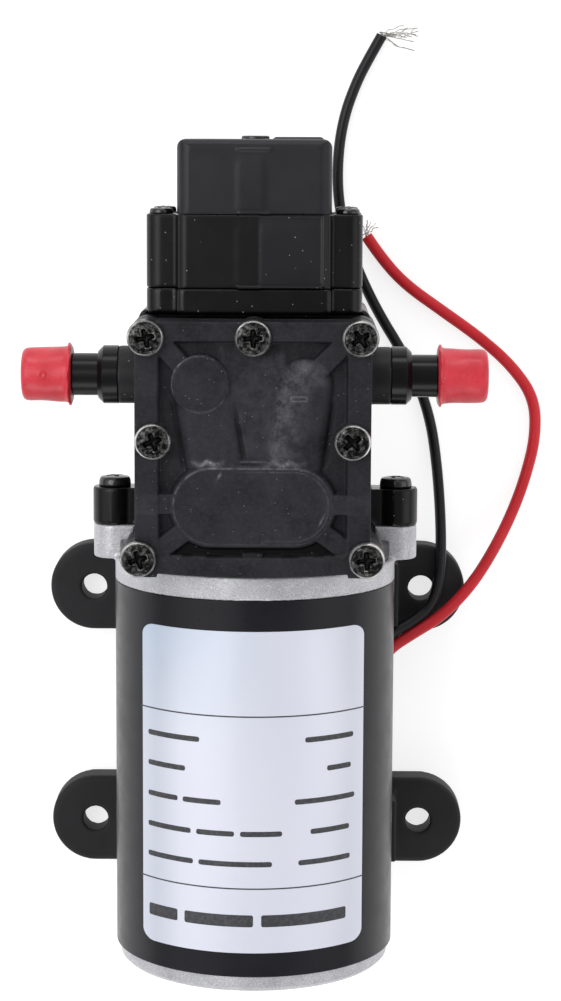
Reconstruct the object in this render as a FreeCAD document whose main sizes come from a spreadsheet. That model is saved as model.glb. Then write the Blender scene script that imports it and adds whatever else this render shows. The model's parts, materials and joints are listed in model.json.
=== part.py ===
# A 12 volt diaphragm water pump: a permanent-magnet motor lying on four rubber
# feet, with a one-chamber diaphragm pump and a pressure switch on its front.
#
# Frame, in millimetres: Y runs along the motor shaft from the motor to the
# pump, Z points up from the floor, X runs from the inlet to the outlet. The
# origin is the middle of the four foot holes, on the floor.

import FreeCAD, Part, Sketcher
import math
import os
import re

from FreeCAD import Placement, Rotation, Vector

SIZES = [
    # Feet and bracket
    ("foot_spacing_across", 67.0, "distance of the foot holes across the pump"),
    ("foot_spacing_along", 49.0, "distance of the foot holes along the motor"),
    ("foot_hole_radius", 2.6, "radius of a foot hole"),
    ("foot_end_radius", 9.0, "outer radius of a foot round its hole"),
    ("foot_height", 6.5, "height of a foot's flat top"),
    ("foot_inner", 17.0, "distance of a foot's inner end from the middle plane"),
    ("foot_cheek_outer", 28.6, "distance of a cheek's outer face from the middle plane"),
    ("foot_cheek_half", 6.4, "half length of a cheek along the motor"),
    ("cheek_drop", 19.5, "drop of a cheek's top below the shaft"),
    ("foot_edge", 1.1, "rounding of a foot's upper edge"),
    ("bracket_level", 3.3, "height of the underside of the steel bracket"),
    ("bracket_thick", 1.8, "thickness of the steel bracket"),
    ("bracket_half", 12.0, "half width of the bracket's middle strip"),
    ("bracket_end", 33.0, "half length of the bracket's middle strip"),
    ("lug_half", 5.0, "half length of a bracket lug along the motor"),
    ("saddle_half", 9.0, "half width of the saddle under the can"),
    ("saddle_overhang", 1.0, "reach of a saddle past its lugs"),
    ("saddle_rise", 1.2, "rise of a saddle round the can"),
    ("screw_end_gap", 0.1, "distance of a bracket screw's end from the can's inner face"),
    ("bracket_screw_spacing", 40.0, "distance of the two bracket screws"),
    ("bracket_screw_radius", 1.5, "radius of a bracket screw"),
    ("bracket_head_radius", 2.9, "radius of a bracket screw's head"),
    ("bracket_head_height", 1.6, "height of a bracket screw's head"),
    # Motor
    ("axis_height", 35.0, "height of the motor shaft above the floor"),
    ("rear_reach", 40.0, "distance of the can's rear edge from the origin"),
    ("can_length", 71.6, "length of the motor can"),
    ("can_radius", 26.6, "outer radius of the motor can"),
    ("can_wall", 1.6, "wall of the motor can"),
    ("sleeve_thick", 0.4, "thickness of the black sleeve round the can"),
    ("label_thick", 0.15, "thickness of the rating label"),
    ("label_width", 41.6, "width of the rating label, seen from above"),
    ("label_inset", 4.7, "distance of the label from the can's rear edge"),
    ("label_length", 61.2, "length of the rating label"),
    ("label_corner", 2.2, "corner radius of the label"),
    ("front_thick", 4.5, "thickness of the front end cover's flange"),
    ("spigot_depth", 3.0, "depth of an end cover's spigot in the can"),
    ("ear_side", 5.6, "distance of an ear's screw from the head's side"),
    ("ear_radius", 4.1, "radius of an ear of the front end cover"),
    ("ear_height", 6.1, "height of an ear above the cover's flange"),
    ("ear_root", 0.5, "how far an ear reaches down beside the cover's flange"),
    ("shaft_clearance", 1.0, "gap round the shaft where it passes a wall"),
    ("blind_wall", 1.2, "metal left under a blind screw hole"),
    ("rear_step", 0.5, "step from the can to the rear end cap"),
    ("rear_thick", 3.2, "thickness of the rear end cap's flange"),
    ("rear_edge", 0.8, "chamfer of the rear end cap"),
    ("hub_radius", 12.4, "radius of the bearing hub of an end cover"),
    ("bearing_radius", 9.5, "outer radius of a motor bearing"),
    ("bearing_width", 6.0, "width of a motor bearing"),
    ("bearing_wall", 1.0, "end wall of a motor bearing's seat"),
    ("bearing_lip", 1.1, "width of a bearing's rings, seen from the side"),
    ("shield_depth", 0.4, "depth of a bearing's shields"),
    ("shaft_radius", 3.0, "radius of the motor shaft"),
    ("shaft_end_radius", 2.2, "radius of the shaft's front end"),
    ("shaft_shoulder", 1.0, "gap between the shaft's shoulder and the eccentric"),
    ("shaft_overhang", 2.4, "reach of the shaft past the rod's bearing"),
    ("bolt_radius", 1.75, "radius of a through bolt"),
    ("bolt_inset", 2.6, "distance of a through bolt from the can's inner face"),
    ("bolt_head_radius", 2.9, "radius of a through bolt's head"),
    ("bolt_head_depth", 1.8, "height of a through bolt's head"),
    ("magnet_length", 36.0, "length of a magnet"),
    ("magnet_angle", 124.0, "arc of a magnet in degrees"),
    ("magnet_thick", 4.45, "thickness of a magnet"),
    ("air_gap", 0.8, "gap between the core and a magnet"),
    ("core_length", 28.0, "length of the armature core"),
    ("core_inset", 9.0, "distance of the armature core from the can's rear edge"),
    ("slot_half_width", 2.2, "half width of a slot in the core"),
    ("slot_depth", 8.4, "depth of a slot in the core"),
    ("winding_inset", 2.1, "set-back of the end turns from the core's outside"),
    ("winding_reach", 4.0, "reach of the end turns past the core"),
    ("winding_taper", 1.6, "taper of the end turns"),
    ("winding_gap", 0.1, "gap between the end turns and the core"),
    ("commutator_radius", 9.0, "radius of the commutator"),
    ("commutator_offset", 10.5, "distance of the commutator's rear face from the brushes"),
    ("commutator_length", 15.0, "length of the commutator"),
    ("riser_step", 1.0, "step of the commutator's riser above its bars"),
    ("riser_length", 2.0, "length of the commutator's riser"),
    ("groove_width", 0.5, "width of a groove between the bars"),
    ("groove_depth", 1.0, "depth of a groove between the bars"),
    ("card_thick", 1.6, "thickness of the brush card"),
    ("card_inset", 7.0, "distance of the brush card from the can's front edge"),
    ("card_bore", 11.0, "radius of the hole in the brush card"),
    ("card_gap", 0.2, "clearance of the brush card in the can"),
    ("notch_gap", 0.5, "clearance round a through bolt in the brush card"),
    ("brush_offset", 8.1, "distance of the brushes from the brush card"),
    ("brush_width", 6.0, "size of a brush along the motor"),
    ("brush_height", 5.0, "size of a brush across the motor"),
    ("spring_room", 6.3, "room for a spring behind a new brush"),
    ("brush_gap", 0.1, "clearance round a brush in its holder"),
    ("holder_inner", 10.6, "distance of a holder's inner end from the shaft"),
    ("holder_inset", 1.4, "set-back of a holder's outer end from the can's inner face"),
    ("holder_wall", 1.2, "wall of a brush holder"),
    ("spring_wire", 0.35, "radius of a brush spring's wire"),
    # Lead outlet in the can
    ("lead_angle", 40.0, "angle of the lead outlet below the side of the can"),
    ("lead_place", 11.4, "place of the lead outlet along the motor"),
    ("lead_spacing", 3.6, "distance of the two leads in the grommet"),
    ("grommet_radius", 2.5, "radius of the grommet's rounded ends"),
    ("grommet_collar", 0.8, "overhang of the grommet's collar"),
    ("grommet_height", 1.6, "height of the grommet's outer face above the sleeve"),
    ("grommet_rise", 0.2, "gap between the sleeve and the grommet's collar"),
    ("grommet_step", 0.5, "step from the grommet's face to its collar"),
    # Pump housing
    ("flange_inset", 0.3, "set-back of the housing's flange from the can's side"),
    ("flange_thick", 3.5, "thickness of the housing's flange"),
    ("barrel_radius", 17.4, "outer radius of the crank barrel"),
    ("barrel_overhang", 10.0, "reach of the crank barrel past the rod"),
    ("crank_radius", 14.3, "radius of the crank space round the rod"),
    ("crank_gap", 0.8, "gap between the rod and the crank space along the motor"),
    ("hub_space", 11.4, "radius of the crank space round the eccentric's hub"),
    ("crank_overhang", 7.5, "reach of the crank space past the rod"),
    ("head_half", 21.5, "half width of the pump head"),
    ("head_gap", 0.2, "gap between the pump head's plates and the motor's front face"),
    ("head_length", 46.8, "length of the pump head"),
    ("housing_overhang", 1.5, "reach of the housing past the head's plates"),
    ("chest_depth", 11.0, "depth of the housing's chest below the shaft"),
    ("head_corner", 2.0, "corner radius of the pump head"),
    ("parting_rise", 15.0, "height of the face that clamps the diaphragm, above the shaft"),
    ("valve_plate_thick", 6.5, "thickness of the valve plate"),
    ("gasket_thick", 0.6, "thickness of the gasket on the valve plate"),
    ("gasket_inset", 0.3, "set-back of the gasket from the head's edges"),
    ("cover_thick", 6.9, "thickness of the front cover at its rim"),
    ("recess_depth", 3.2, "depth of the recess inside the cover's rim"),
    ("rim_width", 4.4, "width of the cover's rim"),
    ("relief_drop", 0.4, "drop of the raised water ways below the cover's rim"),
    ("lobe_radius", 3.35, "radius of a lobe round a cover screw"),
    ("lobe_depth", 12.0, "depth of the lobes on the housing"),
    ("cover_screw_radius", 1.7, "radius of a cover screw"),
    ("cover_head_radius", 3.3, "radius of a cover screw's head"),
    ("cover_head_height", 2.1, "height of a cover screw's head"),
    ("cover_screw_depth", 8.0, "depth of a cover screw in the housing"),
    ("screw_end_room", 0.5, "room under the end of a screw"),
    ("top_screw_side", 2.1, "upper cover screws, in from the head's side"),
    ("top_screw_inset", 2.9, "upper cover screws, in from the head's upper edge"),
    ("mid_screw_side", 3.4, "middle cover screws, in from the head's side"),
    ("mid_screw_inset", 25.1, "middle cover screws, in from the head's lower edge"),
    ("low_screw_side", 0.7, "lower cover screws, in from the head's side"),
    ("low_screw_inset", 3.5, "lower cover screws, in from the head's lower edge"),
    ("screw_gap", 0.2, "clearance round a screw in a piece that it passes"),
    ("recess_half", 0.45, "half width of a cross recess's slots"),
    ("side_boss_radius", 4.2, "radius of a housing boss on an ear"),
    ("side_boss_height", 7.1, "height of a housing boss above its ear"),
    ("side_web_half", 3.4, "half height of the web to a housing boss"),
    ("side_screw_radius", 1.7, "radius of a side screw"),
    ("side_head_radius", 3.1, "radius of a side screw's head"),
    ("side_head_height", 2.1, "height of a side screw's head"),
    # Water ways
    ("port_inset", 11.5, "ports, in from the head's upper edge"),
    ("port_drop", 1.5, "drop of the fittings' collars below the clamping face"),
    ("port_boss_radius", 5.45, "outer radius of a port boss"),
    ("port_boss_length", 4.2, "length of a port boss"),
    ("way_radius", 2.5, "radius of the water ways"),
    ("outlet_way_end", 3.6, "inner end of the outlet's way, from the middle plane"),
    ("sensor_way_radius", 1.1, "radius of the way to the pressure switch"),
    ("sensor_way_across", 5.8, "distance of that way from the middle plane"),
    ("riser_radius", 2.3, "radius of the risers to the front cover"),
    ("way_across", 9.4, "distance of a riser from the middle plane"),
    ("spigot_radius", 4.0, "radius of a fitting's spigot in its port"),
    ("spigot_length", 6.2, "length of a fitting's spigot"),
    ("groove_place", 2.0, "distance of the o-ring's groove from the spigot's end"),
    ("collar_radius", 5.5, "radius of a fitting's collar"),
    ("collar_length", 3.8, "length of a fitting's collar"),
    ("collar_edge", 1.0, "chamfer of a fitting's collar"),
    ("barb_crest", 4.0, "radius of a barb's crest and of the neck"),
    ("barb_root", 3.3, "radius between the barbs"),
    ("neck_length", 4.8, "length of a fitting's neck"),
    ("barb_pitch", 2.73, "distance from barb to barb"),
    ("barb_step", 0.4, "length of the root before a barb"),
    ("barb_rise", 0.2, "length of a barb's steep side"),
    ("root_step", 0.02, "step in the root between the barbs"),
    ("fitting_bore", 2.0, "radius of the bore in a fitting"),
    ("oring_wire", 0.7, "radius of an o-ring's section"),
    ("groove_room", 0.1, "room beside an o-ring in its groove"),
    ("oring_squeeze", 0.01, "clearance of an o-ring in its groove"),
    ("port_gap", 0.05, "clearance of a spigot in its port"),
    ("cap_standoff", 4.9, "gap between a fitting's collar and its cap"),
    ("cap_room", 0.3, "room between the tip of the barbs and the cap's end"),
    ("cap_wall", 1.1, "wall of a cap"),
    ("cap_gap", 0.05, "clearance of a cap on the barbs"),
    ("cap_lip", 0.95, "overhang of a cap's lip"),
    ("cap_lip_length", 1.2, "length of a cap's lip"),
    ("cap_lip_edge", 0.3, "rounding of a cap's lip"),
    ("cap_end_edge", 0.8, "chamfer of a cap's closed end"),
    ("cap_end_wall", 1.2, "thickness of a cap's closed end"),
    ("stadium_inset", 13.0, "middle of the raised valve box, in from the head's lower edge"),
    ("stadium_half", 15.1, "half width of the raised valve box"),
    ("stadium_radius", 7.6, "radius of the raised valve box's ends"),
    ("relief_edge", 1.0, "rounding of the raised water ways"),
    ("way_foot", 5.0, "start of the water ways, above the middle of the valve box"),
    ("left_foot_outer", 11.1, "left water way at its foot, outer side"),
    ("left_foot_inner", 2.2, "left water way at its foot, inner side"),
    ("left_top_outer", 13.6, "left water way at its port, outer side"),
    ("left_top_inner", 3.9, "left water way at its port, inner side"),
    ("right_foot_outer", 12.3, "right water way at its foot, outer side"),
    ("right_foot_inner", 2.4, "right water way at its foot, inner side"),
    ("right_top_outer", 14.2, "right water way at its port, outer side"),
    ("right_top_inner", 4.6, "right water way at its port, inner side"),
    ("disc_radius", 5.6, "radius of the round pad on the inlet riser"),
    ("wedge_low", 2.4, "half width of the wedge between the water ways, lower end"),
    ("wedge_high", 4.2, "half width of the wedge between the water ways, upper end"),
    ("wedge_height", 0.8, "height of that wedge above the recess"),
    ("rib_half", 1.1, "half width of the cover's ribs"),
    ("rib_drop", 0.9, "drop of the side ribs below the valve box"),
    ("web_drop", 1.2, "drop of the diagonal webs below the valve box"),
    ("recess_corner", 0.6, "corner radius of the cover's recess"),
    ("outlet_pad_step", 0.8, "difference in radius of the two round pads"),
    ("way_wall", 2.2, "wall over the water ways in the cover"),
    ("box_wall", 1.9, "wall round the space in the valve box"),
    ("box_middle", 0.9, "half thickness of the wall between the two valve spaces"),
    ("way_side_wall", 2.3, "side wall of a water way in the cover"),
    ("way_drop", 0.5, "drop of the water ways below the valve box"),
    ("valve_across", 7.0, "distance of a valve from the middle plane"),
    ("valve_radius", 4.0, "radius of a valve disc"),
    ("valve_thick", 0.8, "thickness of a valve disc"),
    ("valve_lift", 0.45, "lift of a valve"),
    ("valve_stem", 0.9, "radius of a valve's stem"),
    ("valve_bulb", 1.5, "radius of a valve's retaining bulb"),
    ("bulb_height", 0.6, "height of the straight part of a bulb"),
    ("bulb_tip", 0.6, "height of a bulb's pointed part"),
    ("disc_edge", 0.4, "taper of a valve disc's edge"),
    ("disc_rim", 0.2, "thickness of a valve disc's edge"),
    ("valve_wall", 2.0, "thickness of the plate under a valve"),
    ("valve_hole_circle", 2.5, "distance of the small water holes from a valve's stem"),
    ("valve_hole_radius", 0.85, "radius of a small water hole"),
    ("stem_gap", 0.15, "clearance round a valve's stem"),
    ("stem_float", 0.1, "least gap between a valve's bulb and its plate"),
    # Crank, rod and diaphragm
    ("rod_reach", 16.9, "distance of the rod from the motor's front face"),
    ("throw", 1.7, "offset of the eccentric"),
    ("journal_radius", 5.0, "radius of the eccentric's journal"),
    ("journal_shoulder", 0.9, "step of the journal's shoulder"),
    ("journal_overhang", 0.8, "reach of the journal past its bearing"),
    ("hub_outer", 7.2, "radius of the eccentric's hub"),
    ("hub_reach", 4.3, "distance of the eccentric from the motor's front face"),
    ("hub_length", 8.4, "length of the eccentric's hub"),
    ("grub_radius", 1.5, "radius of the grub screw"),
    ("socket_radius", 0.7, "radius of the grub screw's socket"),
    ("socket_depth", 1.6, "depth of the grub screw's socket"),
    ("grub_inset", 0.4, "set-back of the grub screw in the hub"),
    ("rod_bearing_radius", 9.5, "outer radius of the rod's bearing"),
    ("rod_bearing_width", 5.0, "width of the rod's bearing"),
    ("rod_ring_radius", 11.6, "outer radius of the rod's ring"),
    ("rod_width", 6.0, "width of the rod along the motor"),
    ("rod_neck_half", 6.0, "half width of the rod's neck"),
    ("rod_screw_wall", 0.7, "metal between the rod's bearing and the clamp screw"),
    ("plate_radius", 7.5, "radius of the plates that clamp the diaphragm"),
    ("plate_thick", 1.7, "thickness of the plates that clamp the diaphragm"),
    ("plate_edge", 0.6, "chamfer of the clamp disc"),
    ("membrane_thick", 1.2, "thickness of the diaphragm"),
    ("bead_radius", 14.5, "outer radius of the diaphragm's bead"),
    ("bead_height", 2.0, "height of the diaphragm's bead"),
    ("bead_width", 2.4, "width of the diaphragm's bead"),
    ("fold_step", 0.6, "start of the diaphragm's fold past its plates"),
    ("fold_depth", 0.5, "depth of the diaphragm's fold"),
    ("fold_rise", 0.4, "height of the fold's outer end above the bead's foot"),
    ("bead_gap", 0.02, "clearance of the bead in its seat"),
    ("hole_gap", 0.05, "clearance round the screw in the diaphragm"),
    ("chamber_radius", 12.0, "radius of the pump chamber"),
    ("chamber_depth", 3.5, "depth of the pump chamber in the valve plate"),
    ("clamp_screw_radius", 1.5, "radius of the screw through the diaphragm"),
    ("clamp_screw_gap", 0.1, "clearance round the clamp screw"),
    ("clamp_head_reach", 1.5, "overhang of the clamp screw's sunk head"),
    ("clamp_head_depth", 1.4, "depth of the clamp screw's sunk head"),
    # Pressure switch
    ("switch_drop", 5.5, "drop of the pressure switch's axis below the clamping face"),
    ("switch_half_across", 14.2, "half width of the pressure switch"),
    ("switch_half_high", 11.5, "half height of the pressure switch"),
    ("switch_seat_length", 4.0, "length of the housing's seat for the switch"),
    ("switch_body_length", 13.5, "length of the switch body"),
    ("switch_cap_length", 13.65, "length of the switch cap"),
    ("switch_edge", 1.2, "corner radius of the switch"),
    ("switch_rib_half", 2.9, "half width of the rib on the switch body"),
    ("switch_rib_height", 0.9, "height of the rib on the switch body"),
    ("cap_rib_height", 0.35, "height of the rib on the switch cap"),
    ("panel_height", 0.5, "height of the panel on the switch body"),
    ("panel_near", 1.1, "inner side of that panel, from the middle plane"),
    ("panel_side", 1.2, "outer side of that panel, in from the body's side"),
    ("panel_end", 0.3, "ends of that panel, in from the body's ends"),
    ("cap_edge", 1.6, "rounding of the switch cap's end"),
    ("pad_near", 3.6, "inner side of the pad on the switch cap, from the middle plane"),
    ("pad_side", 1.8, "outer side of that pad, in from the cap's side"),
    ("pad_half", 7.5, "half height of that pad"),
    ("pad_height", 0.4, "height of that pad"),
    ("switch_wall", 1.8, "wall of the switch cap"),
    ("switch_screw_across", 17.2, "switch screws, from the middle plane"),
    ("switch_screw_high", 6.2, "switch screws, above and below the axis"),
    ("switch_boss_radius", 2.75, "radius of a switch screw's boss"),
    ("switch_screw_radius", 1.2, "radius of a switch screw"),
    ("switch_screw_depth", 4.2, "depth of a switch screw in its seat"),
    ("switch_head_radius", 2.2, "radius of a switch screw's head"),
    ("switch_head_height", 1.1, "height of a switch screw's head"),
    ("sensor_radius", 9.0, "radius of the switch diaphragm"),
    ("sensor_thick", 1.2, "thickness of the switch diaphragm"),
    ("sensor_chamber", 6.0, "radius of the space under the switch diaphragm"),
    ("plunger_radius", 6.2, "radius of the switch plunger's disc"),
    ("plunger_thick", 1.8, "thickness of the switch plunger's disc"),
    ("plunger_travel", 0.8, "travel of the switch plunger"),
    ("pin_step", 1.0, "step from the switch spring's mean radius to the plunger's pin"),
    ("pin_taper", 0.4, "taper of the plunger's pin"),
    ("pin_height", 4.0, "height of the plunger's pin"),
    ("arm_overhang", 1.2, "reach of the plunger's arm past the switch body"),
    ("button_gap", 0.1, "gap between the arm and the button at full travel"),
    ("case_inset", 0.8, "offset of the microswitch case from the arm and the button"),
    ("case_half", 5.5, "half height of the microswitch case"),
    ("arm_inner", 5.2, "inner side of the plunger's arm, from the middle plane"),
    ("arm_outer", 8.8, "outer side of the plunger's arm, from the middle plane"),
    ("arm_half", 1.5, "half height of the plunger's arm"),
    ("arm_gap", 0.5, "gap round the plunger's arm in the switch body"),
    ("switch_bore", 6.6, "radius of the bore in the switch body"),
    ("coil_radius", 4.0, "mean radius of the switch spring"),
    ("coil_wire", 0.45, "radius of the switch spring's wire"),
    ("cup_inset", 1.2, "depth of the spring cup in the switch body"),
    ("cup_step", 0.5, "step from the switch spring's mean radius to the cup's rim"),
    ("cup_rim", 1.0, "thickness of the spring cup's rim"),
    ("cup_floor", 1.4, "thickness of the spring cup's floor"),
    ("cup_height", 2.6, "height of the spring cup"),
    ("adjust_radius", 2.6, "radius of the adjusting screw's head"),
    ("adjust_shank", 1.6, "radius of the adjusting screw's shank"),
    ("adjust_height", 0.6, "height of the adjusting screw's head"),
    ("adjust_gap", 0.1, "clearance round the adjusting screw's shank"),
    ("adjust_edge", 0.2, "chamfer of the adjusting screw's head"),
    ("adjust_recess", 1.6, "reach of the adjusting screw's recess"),
    # Leads
    ("red_radius", 1.18, "radius of the red lead"),
    ("black_radius", 1.1, "radius of the black lead"),
    ("strand_radius", 0.16, "radius of a bare strand"),
    # General
    ("running_gap", 0.3, "gap between pieces that pass each other"),
    ("seat_gap", 0.05, "gap of a piece in its seat"),
    ("running_fit", 0.02, "radial clearance of a shaft in its bearing"),
    ("press_fit", 0.01, "radial clearance of pieces pressed together"),
]

# The leads' routes, each from the grommet to the stripped end. The first point
# is on the grommet's face and the second is straight out from it.
RED_ROUTE = [
    (30.1, 13.4, 11.3),
    (36.5, 18.8, 9.3),
    (42.6, 24.9, 8.5),
    (47.6, 31.9, 6.0),
    (51.4, 39.2, 3.0),
    (54.6, 46.8, 1.26),
    (57.0, 55.3, 1.2),
    (56.6, 63.3, 1.21),
    (52.4, 70.3, 1.2),
    (45.6, 76.0, 1.21),
    (37.6, 81.0, 1.2),
    (29.6, 86.6, 1.21),
    (24.6, 92.2, 1.2),
    (21.9, 96.2, 1.2),
]
BLACK_ROUTE = [
    (30.6, 17.3, 11.3),
    (34.4, 21.4, 9.4),
    (36.7, 27.8, 8.6),
    (37.9, 35.0, 7.9),
    (38.0, 42.5, 4.2),
    (37.0, 50.0, 1.35),
    (35.4, 58.0, 1.15),
    (33.0, 65.8, 1.16),
    (29.2, 73.0, 1.15),
    (24.8, 80.0, 1.16),
    (21.0, 87.4, 1.15),
    (17.8, 95.4, 1.16),
    (16.0, 103.8, 1.15),
    (15.9, 112.4, 1.16),
    (17.0, 120.4, 1.15),
    (18.9, 127.6, 1.16),
    (21.4, 132.6, 1.15),
    (24.6, 136.4, 1.16),
]
# Where the bare strands end, measured from the end of their lead
RED_STRANDS = [
    (0.2, 2.4, -0.3),
    (1.5, 2.6, 0.2),
    (-0.9, 2.3, 0.6),
    (0.9, 3.2, 0.8),
    (-0.2, 3.4, 1.2),
    (2.3, 2.0, 0.9),
]
BLACK_STRANDS = [
    (6.8, 1.0, 0.9),
    (6.3, -1.2, 1.4),
    (5.2, -3.0, 0.3),
    (4.6, 2.1, -0.3),
    (7.4, -0.2, 0.1),
    (5.6, 0.6, 2.1),
    (3.4, -1.9, 1.0),
]

# Sizes and places that follow from the sizes above, each as a formula of the sheet
FOLLOWING = {
    "can_rear": "-rear_reach",
    "can_front": "can_length - rear_reach",
    "front_face": "can_front + front_thick",
    "ear_top": "front_face + ear_height",
    "ear_start": "front_face - ear_root",
    "side_boss_top": "ear_top + side_boss_height",
    "rear_face": "can_rear - rear_thick",
    "rear_bearing_start": "rear_face + bearing_wall",
    "front_bearing_end": "front_face - bearing_wall",
    "sleeve_radius": "can_radius + sleeve_thick",
    "can_inner": "can_radius - can_wall",
    "rear_radius": "can_radius - rear_step",
    "bolt_circle": "can_inner - bolt_inset",
    "core_radius": "can_inner - seat_gap - magnet_thick - air_gap",
    "winding_radius": "core_radius - winding_inset",
    "holder_outer": "can_inner - holder_inset",
    "brush_length": "holder_outer - holder_wall - commutator_radius - brush_gap - spring_room",
    "grommet_reach": "sleeve_radius + grommet_height",
    "flange_radius": "can_radius - flange_inset",
    "lug_reach": "sleeve_radius",
    "ear_offset": "head_half + ear_side",
    "foot_cheek_height": "axis_height - cheek_drop",
    "label_start": "can_rear + label_inset",
    "label_end": "label_start + label_length",
    "core_start": "can_rear + core_inset",
    "card_place": "can_front - card_inset",
    "brush_middle": "card_place - brush_offset",
    "commutator_start": "brush_middle - commutator_offset",
    "brush_back": "commutator_radius + brush_gap + brush_length",
    "foot_across": "foot_spacing_across / 2",
    "foot_along": "foot_spacing_along / 2",
    "head_start": "front_face + head_gap",
    "head_end": "head_start + head_length",
    "housing_end": "head_end + housing_overhang",
    "housing_bottom": "axis_height - chest_depth",
    "rod_middle": "front_face + rod_reach",
    "hub_start": "front_face + hub_reach",
    "barrel_end": "rod_middle + barrel_overhang",
    "crank_end": "rod_middle + crank_overhang",
    "parting_height": "axis_height + parting_rise",
    "plate_top": "parting_height + valve_plate_thick",
    "cover_bottom": "plate_top + gasket_thick",
    "cover_top": "cover_bottom + cover_thick",
    "recess_floor": "cover_top - recess_depth",
    "relief_top": "cover_top - relief_drop",
    "top_screw_across": "head_half - top_screw_side",
    "top_screw_along": "head_end - top_screw_inset",
    "mid_screw_across": "head_half - mid_screw_side",
    "mid_screw_along": "head_start + mid_screw_inset",
    "low_screw_across": "head_half - low_screw_side",
    "low_screw_along": "head_start + low_screw_inset",
    "stadium_along": "head_start + stadium_inset",
    "port_along": "head_end - port_inset",
    "port_height": "parting_height - collar_radius - port_drop",
    "port_boss_reach": "head_half + port_boss_length",
    "collar_end": "port_boss_reach + collar_length",
    "neck_end": "collar_end + neck_length",
    "barb_tip": "neck_end + 3 * barb_pitch",
    "cap_start": "collar_end + cap_standoff",
    "cap_end": "barb_tip + cap_room + cap_end_wall",
    "journal_height": "axis_height - throw",
    "rod_plate_top": "parting_height - bead_height / 2 - membrane_thick / 2 - throw",
    "switch_height": "parting_height - switch_drop",
    "switch_base_end": "housing_end + switch_seat_length",
    "switch_body_end": "switch_base_end + switch_body_length",
    "switch_cap_end": "switch_body_end + switch_cap_length",
}

doc = FreeCAD.newDocument("diaphragm_water_pump")
sheet = doc.addObject("Spreadsheet::Sheet", "dims")
cells = [(alias, str(value), meaning) for alias, value, meaning in SIZES]
cells += [(alias, "=" + formula, "") for alias, formula in FOLLOWING.items()]
for row, (alias, _, meaning) in enumerate(cells, start=1):
    sheet.set(f"A{row}", meaning)
    sheet.set(f"B{row}", "0")
    sheet.setAlias(f"B{row}", alias)
for row, (_, content, _) in enumerate(cells, start=1):
    sheet.set(f"B{row}", content)
doc.recompute()
size = {alias: float(sheet.get(alias)) for alias, _, _ in cells}

nodes = []


def bound(text):
    """The expression with each size's name pointing at its cell."""
    return re.sub(
        r"[A-Za-z_]\w*", lambda word: "dims." + word[0] if word[0] in size else word[0], str(text)
    )


def bind(item, **links):
    """Ties properties to expressions; a double underscore stands for a dot."""
    for path, text in links.items():
        item.setExpression(path.replace("__", "."), bound(text))
    return item


def place(item, x="0", y="0", z="0", turn=None):
    """Puts the item at bound coordinates, turned about its own origin."""
    if turn:
        item.Placement = Placement(Vector(), turn)
    return bind(item, Placement__Base__x=x, Placement__Base__y=y, Placement__Base__z=z)


TURNS = {
    "X": Rotation(Vector(0, 1, 0), 90),
    "Y": Rotation(Vector(1, 0, 0), -90),
    "Z": Rotation(),
}
HALF_TURN = Rotation(Vector(0, 0, 1), 180)


def spot(axis, along, at):
    """Coordinates of a point on an axis-parallel line through at."""
    first, second = at
    return {
        "X": (along, first, second),
        "Y": (first, along, second),
        "Z": (first, second, along),
    }[axis]


def cylinder(name, radius, start, end, axis="Z", at=("0", "0")):
    item = doc.addObject("Part::Cylinder", name)
    bind(item, Radius=radius, Height=f"({end}) - ({start})")
    return place(item, *spot(axis, start, at), turn=TURNS[axis])


def block(name, x, y, z):
    item = doc.addObject("Part::Box", name)
    bind(
        item,
        Length=f"({x[1]}) - ({x[0]})",
        Width=f"({y[1]}) - ({y[0]})",
        Height=f"({z[1]}) - ({z[0]})",
    )
    return place(item, x[0], y[0], z[0])


def join(name, *items):
    item = doc.addObject("Part::MultiFuse", name)
    item.Shapes = list(items)
    item.Refine = True
    return item


def cut(name, base, *tools):
    item = doc.addObject("Part::Cut", name)
    item.Base = base
    item.Tool = tools[0] if len(tools) == 1 else join(name + "_tools", *tools)
    item.Refine = True
    return item


def common(name, first, second):
    item = doc.addObject("Part::Common", name)
    item.Base = first
    item.Tool = second
    item.Refine = True
    return item


def group(name, *items):
    item = doc.addObject("Part::Compound", name)
    item.Links = list(items)
    return item


def node(item, label=None):
    """Marks an object as one of the pump's pieces."""
    item.Label = label or item.Name
    nodes.append(item)
    return item


SKETCH_PLANES = {"X": "YZ_Plane", "Y": "XZ_Plane", "Z": "XY_Plane"}


def sketch_on(body, role, name):
    plane = next(p for p in body.Origin.OriginFeatures if p.Role == role)
    sketch = body.newObject("Sketcher::SketchObject", name)
    sketch.AttachmentSupport = (plane, [""])
    sketch.MapMode = "FlatFace"
    return sketch


def polygon(sketch, points):
    """Draws a closed outline whose corners are bound to expressions."""
    count = len(points)
    for i in range(count):
        start = Vector(i, i * i, 0)
        end = Vector(i + 1, (i + 1) * (i + 1), 0)
        sketch.addGeometry(Part.LineSegment(start, end), False)
    for i in range(count):
        sketch.addConstraint(Sketcher.Constraint("Coincident", i, 2, (i + 1) % count, 1))
    for i, (u, v) in enumerate(points):
        for kind, text, axis_line in (("DistanceX", u, -2), ("DistanceY", v, -1)):
            if str(text) == "0":
                sketch.addConstraint(Sketcher.Constraint("PointOnObject", i, 1, axis_line))
                continue
            index = sketch.addConstraint(Sketcher.Constraint(kind, -1, 1, i, 1, 1.0 + i))
            sketch.setExpression(f"Constraints[{index}]", bound(text))


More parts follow.
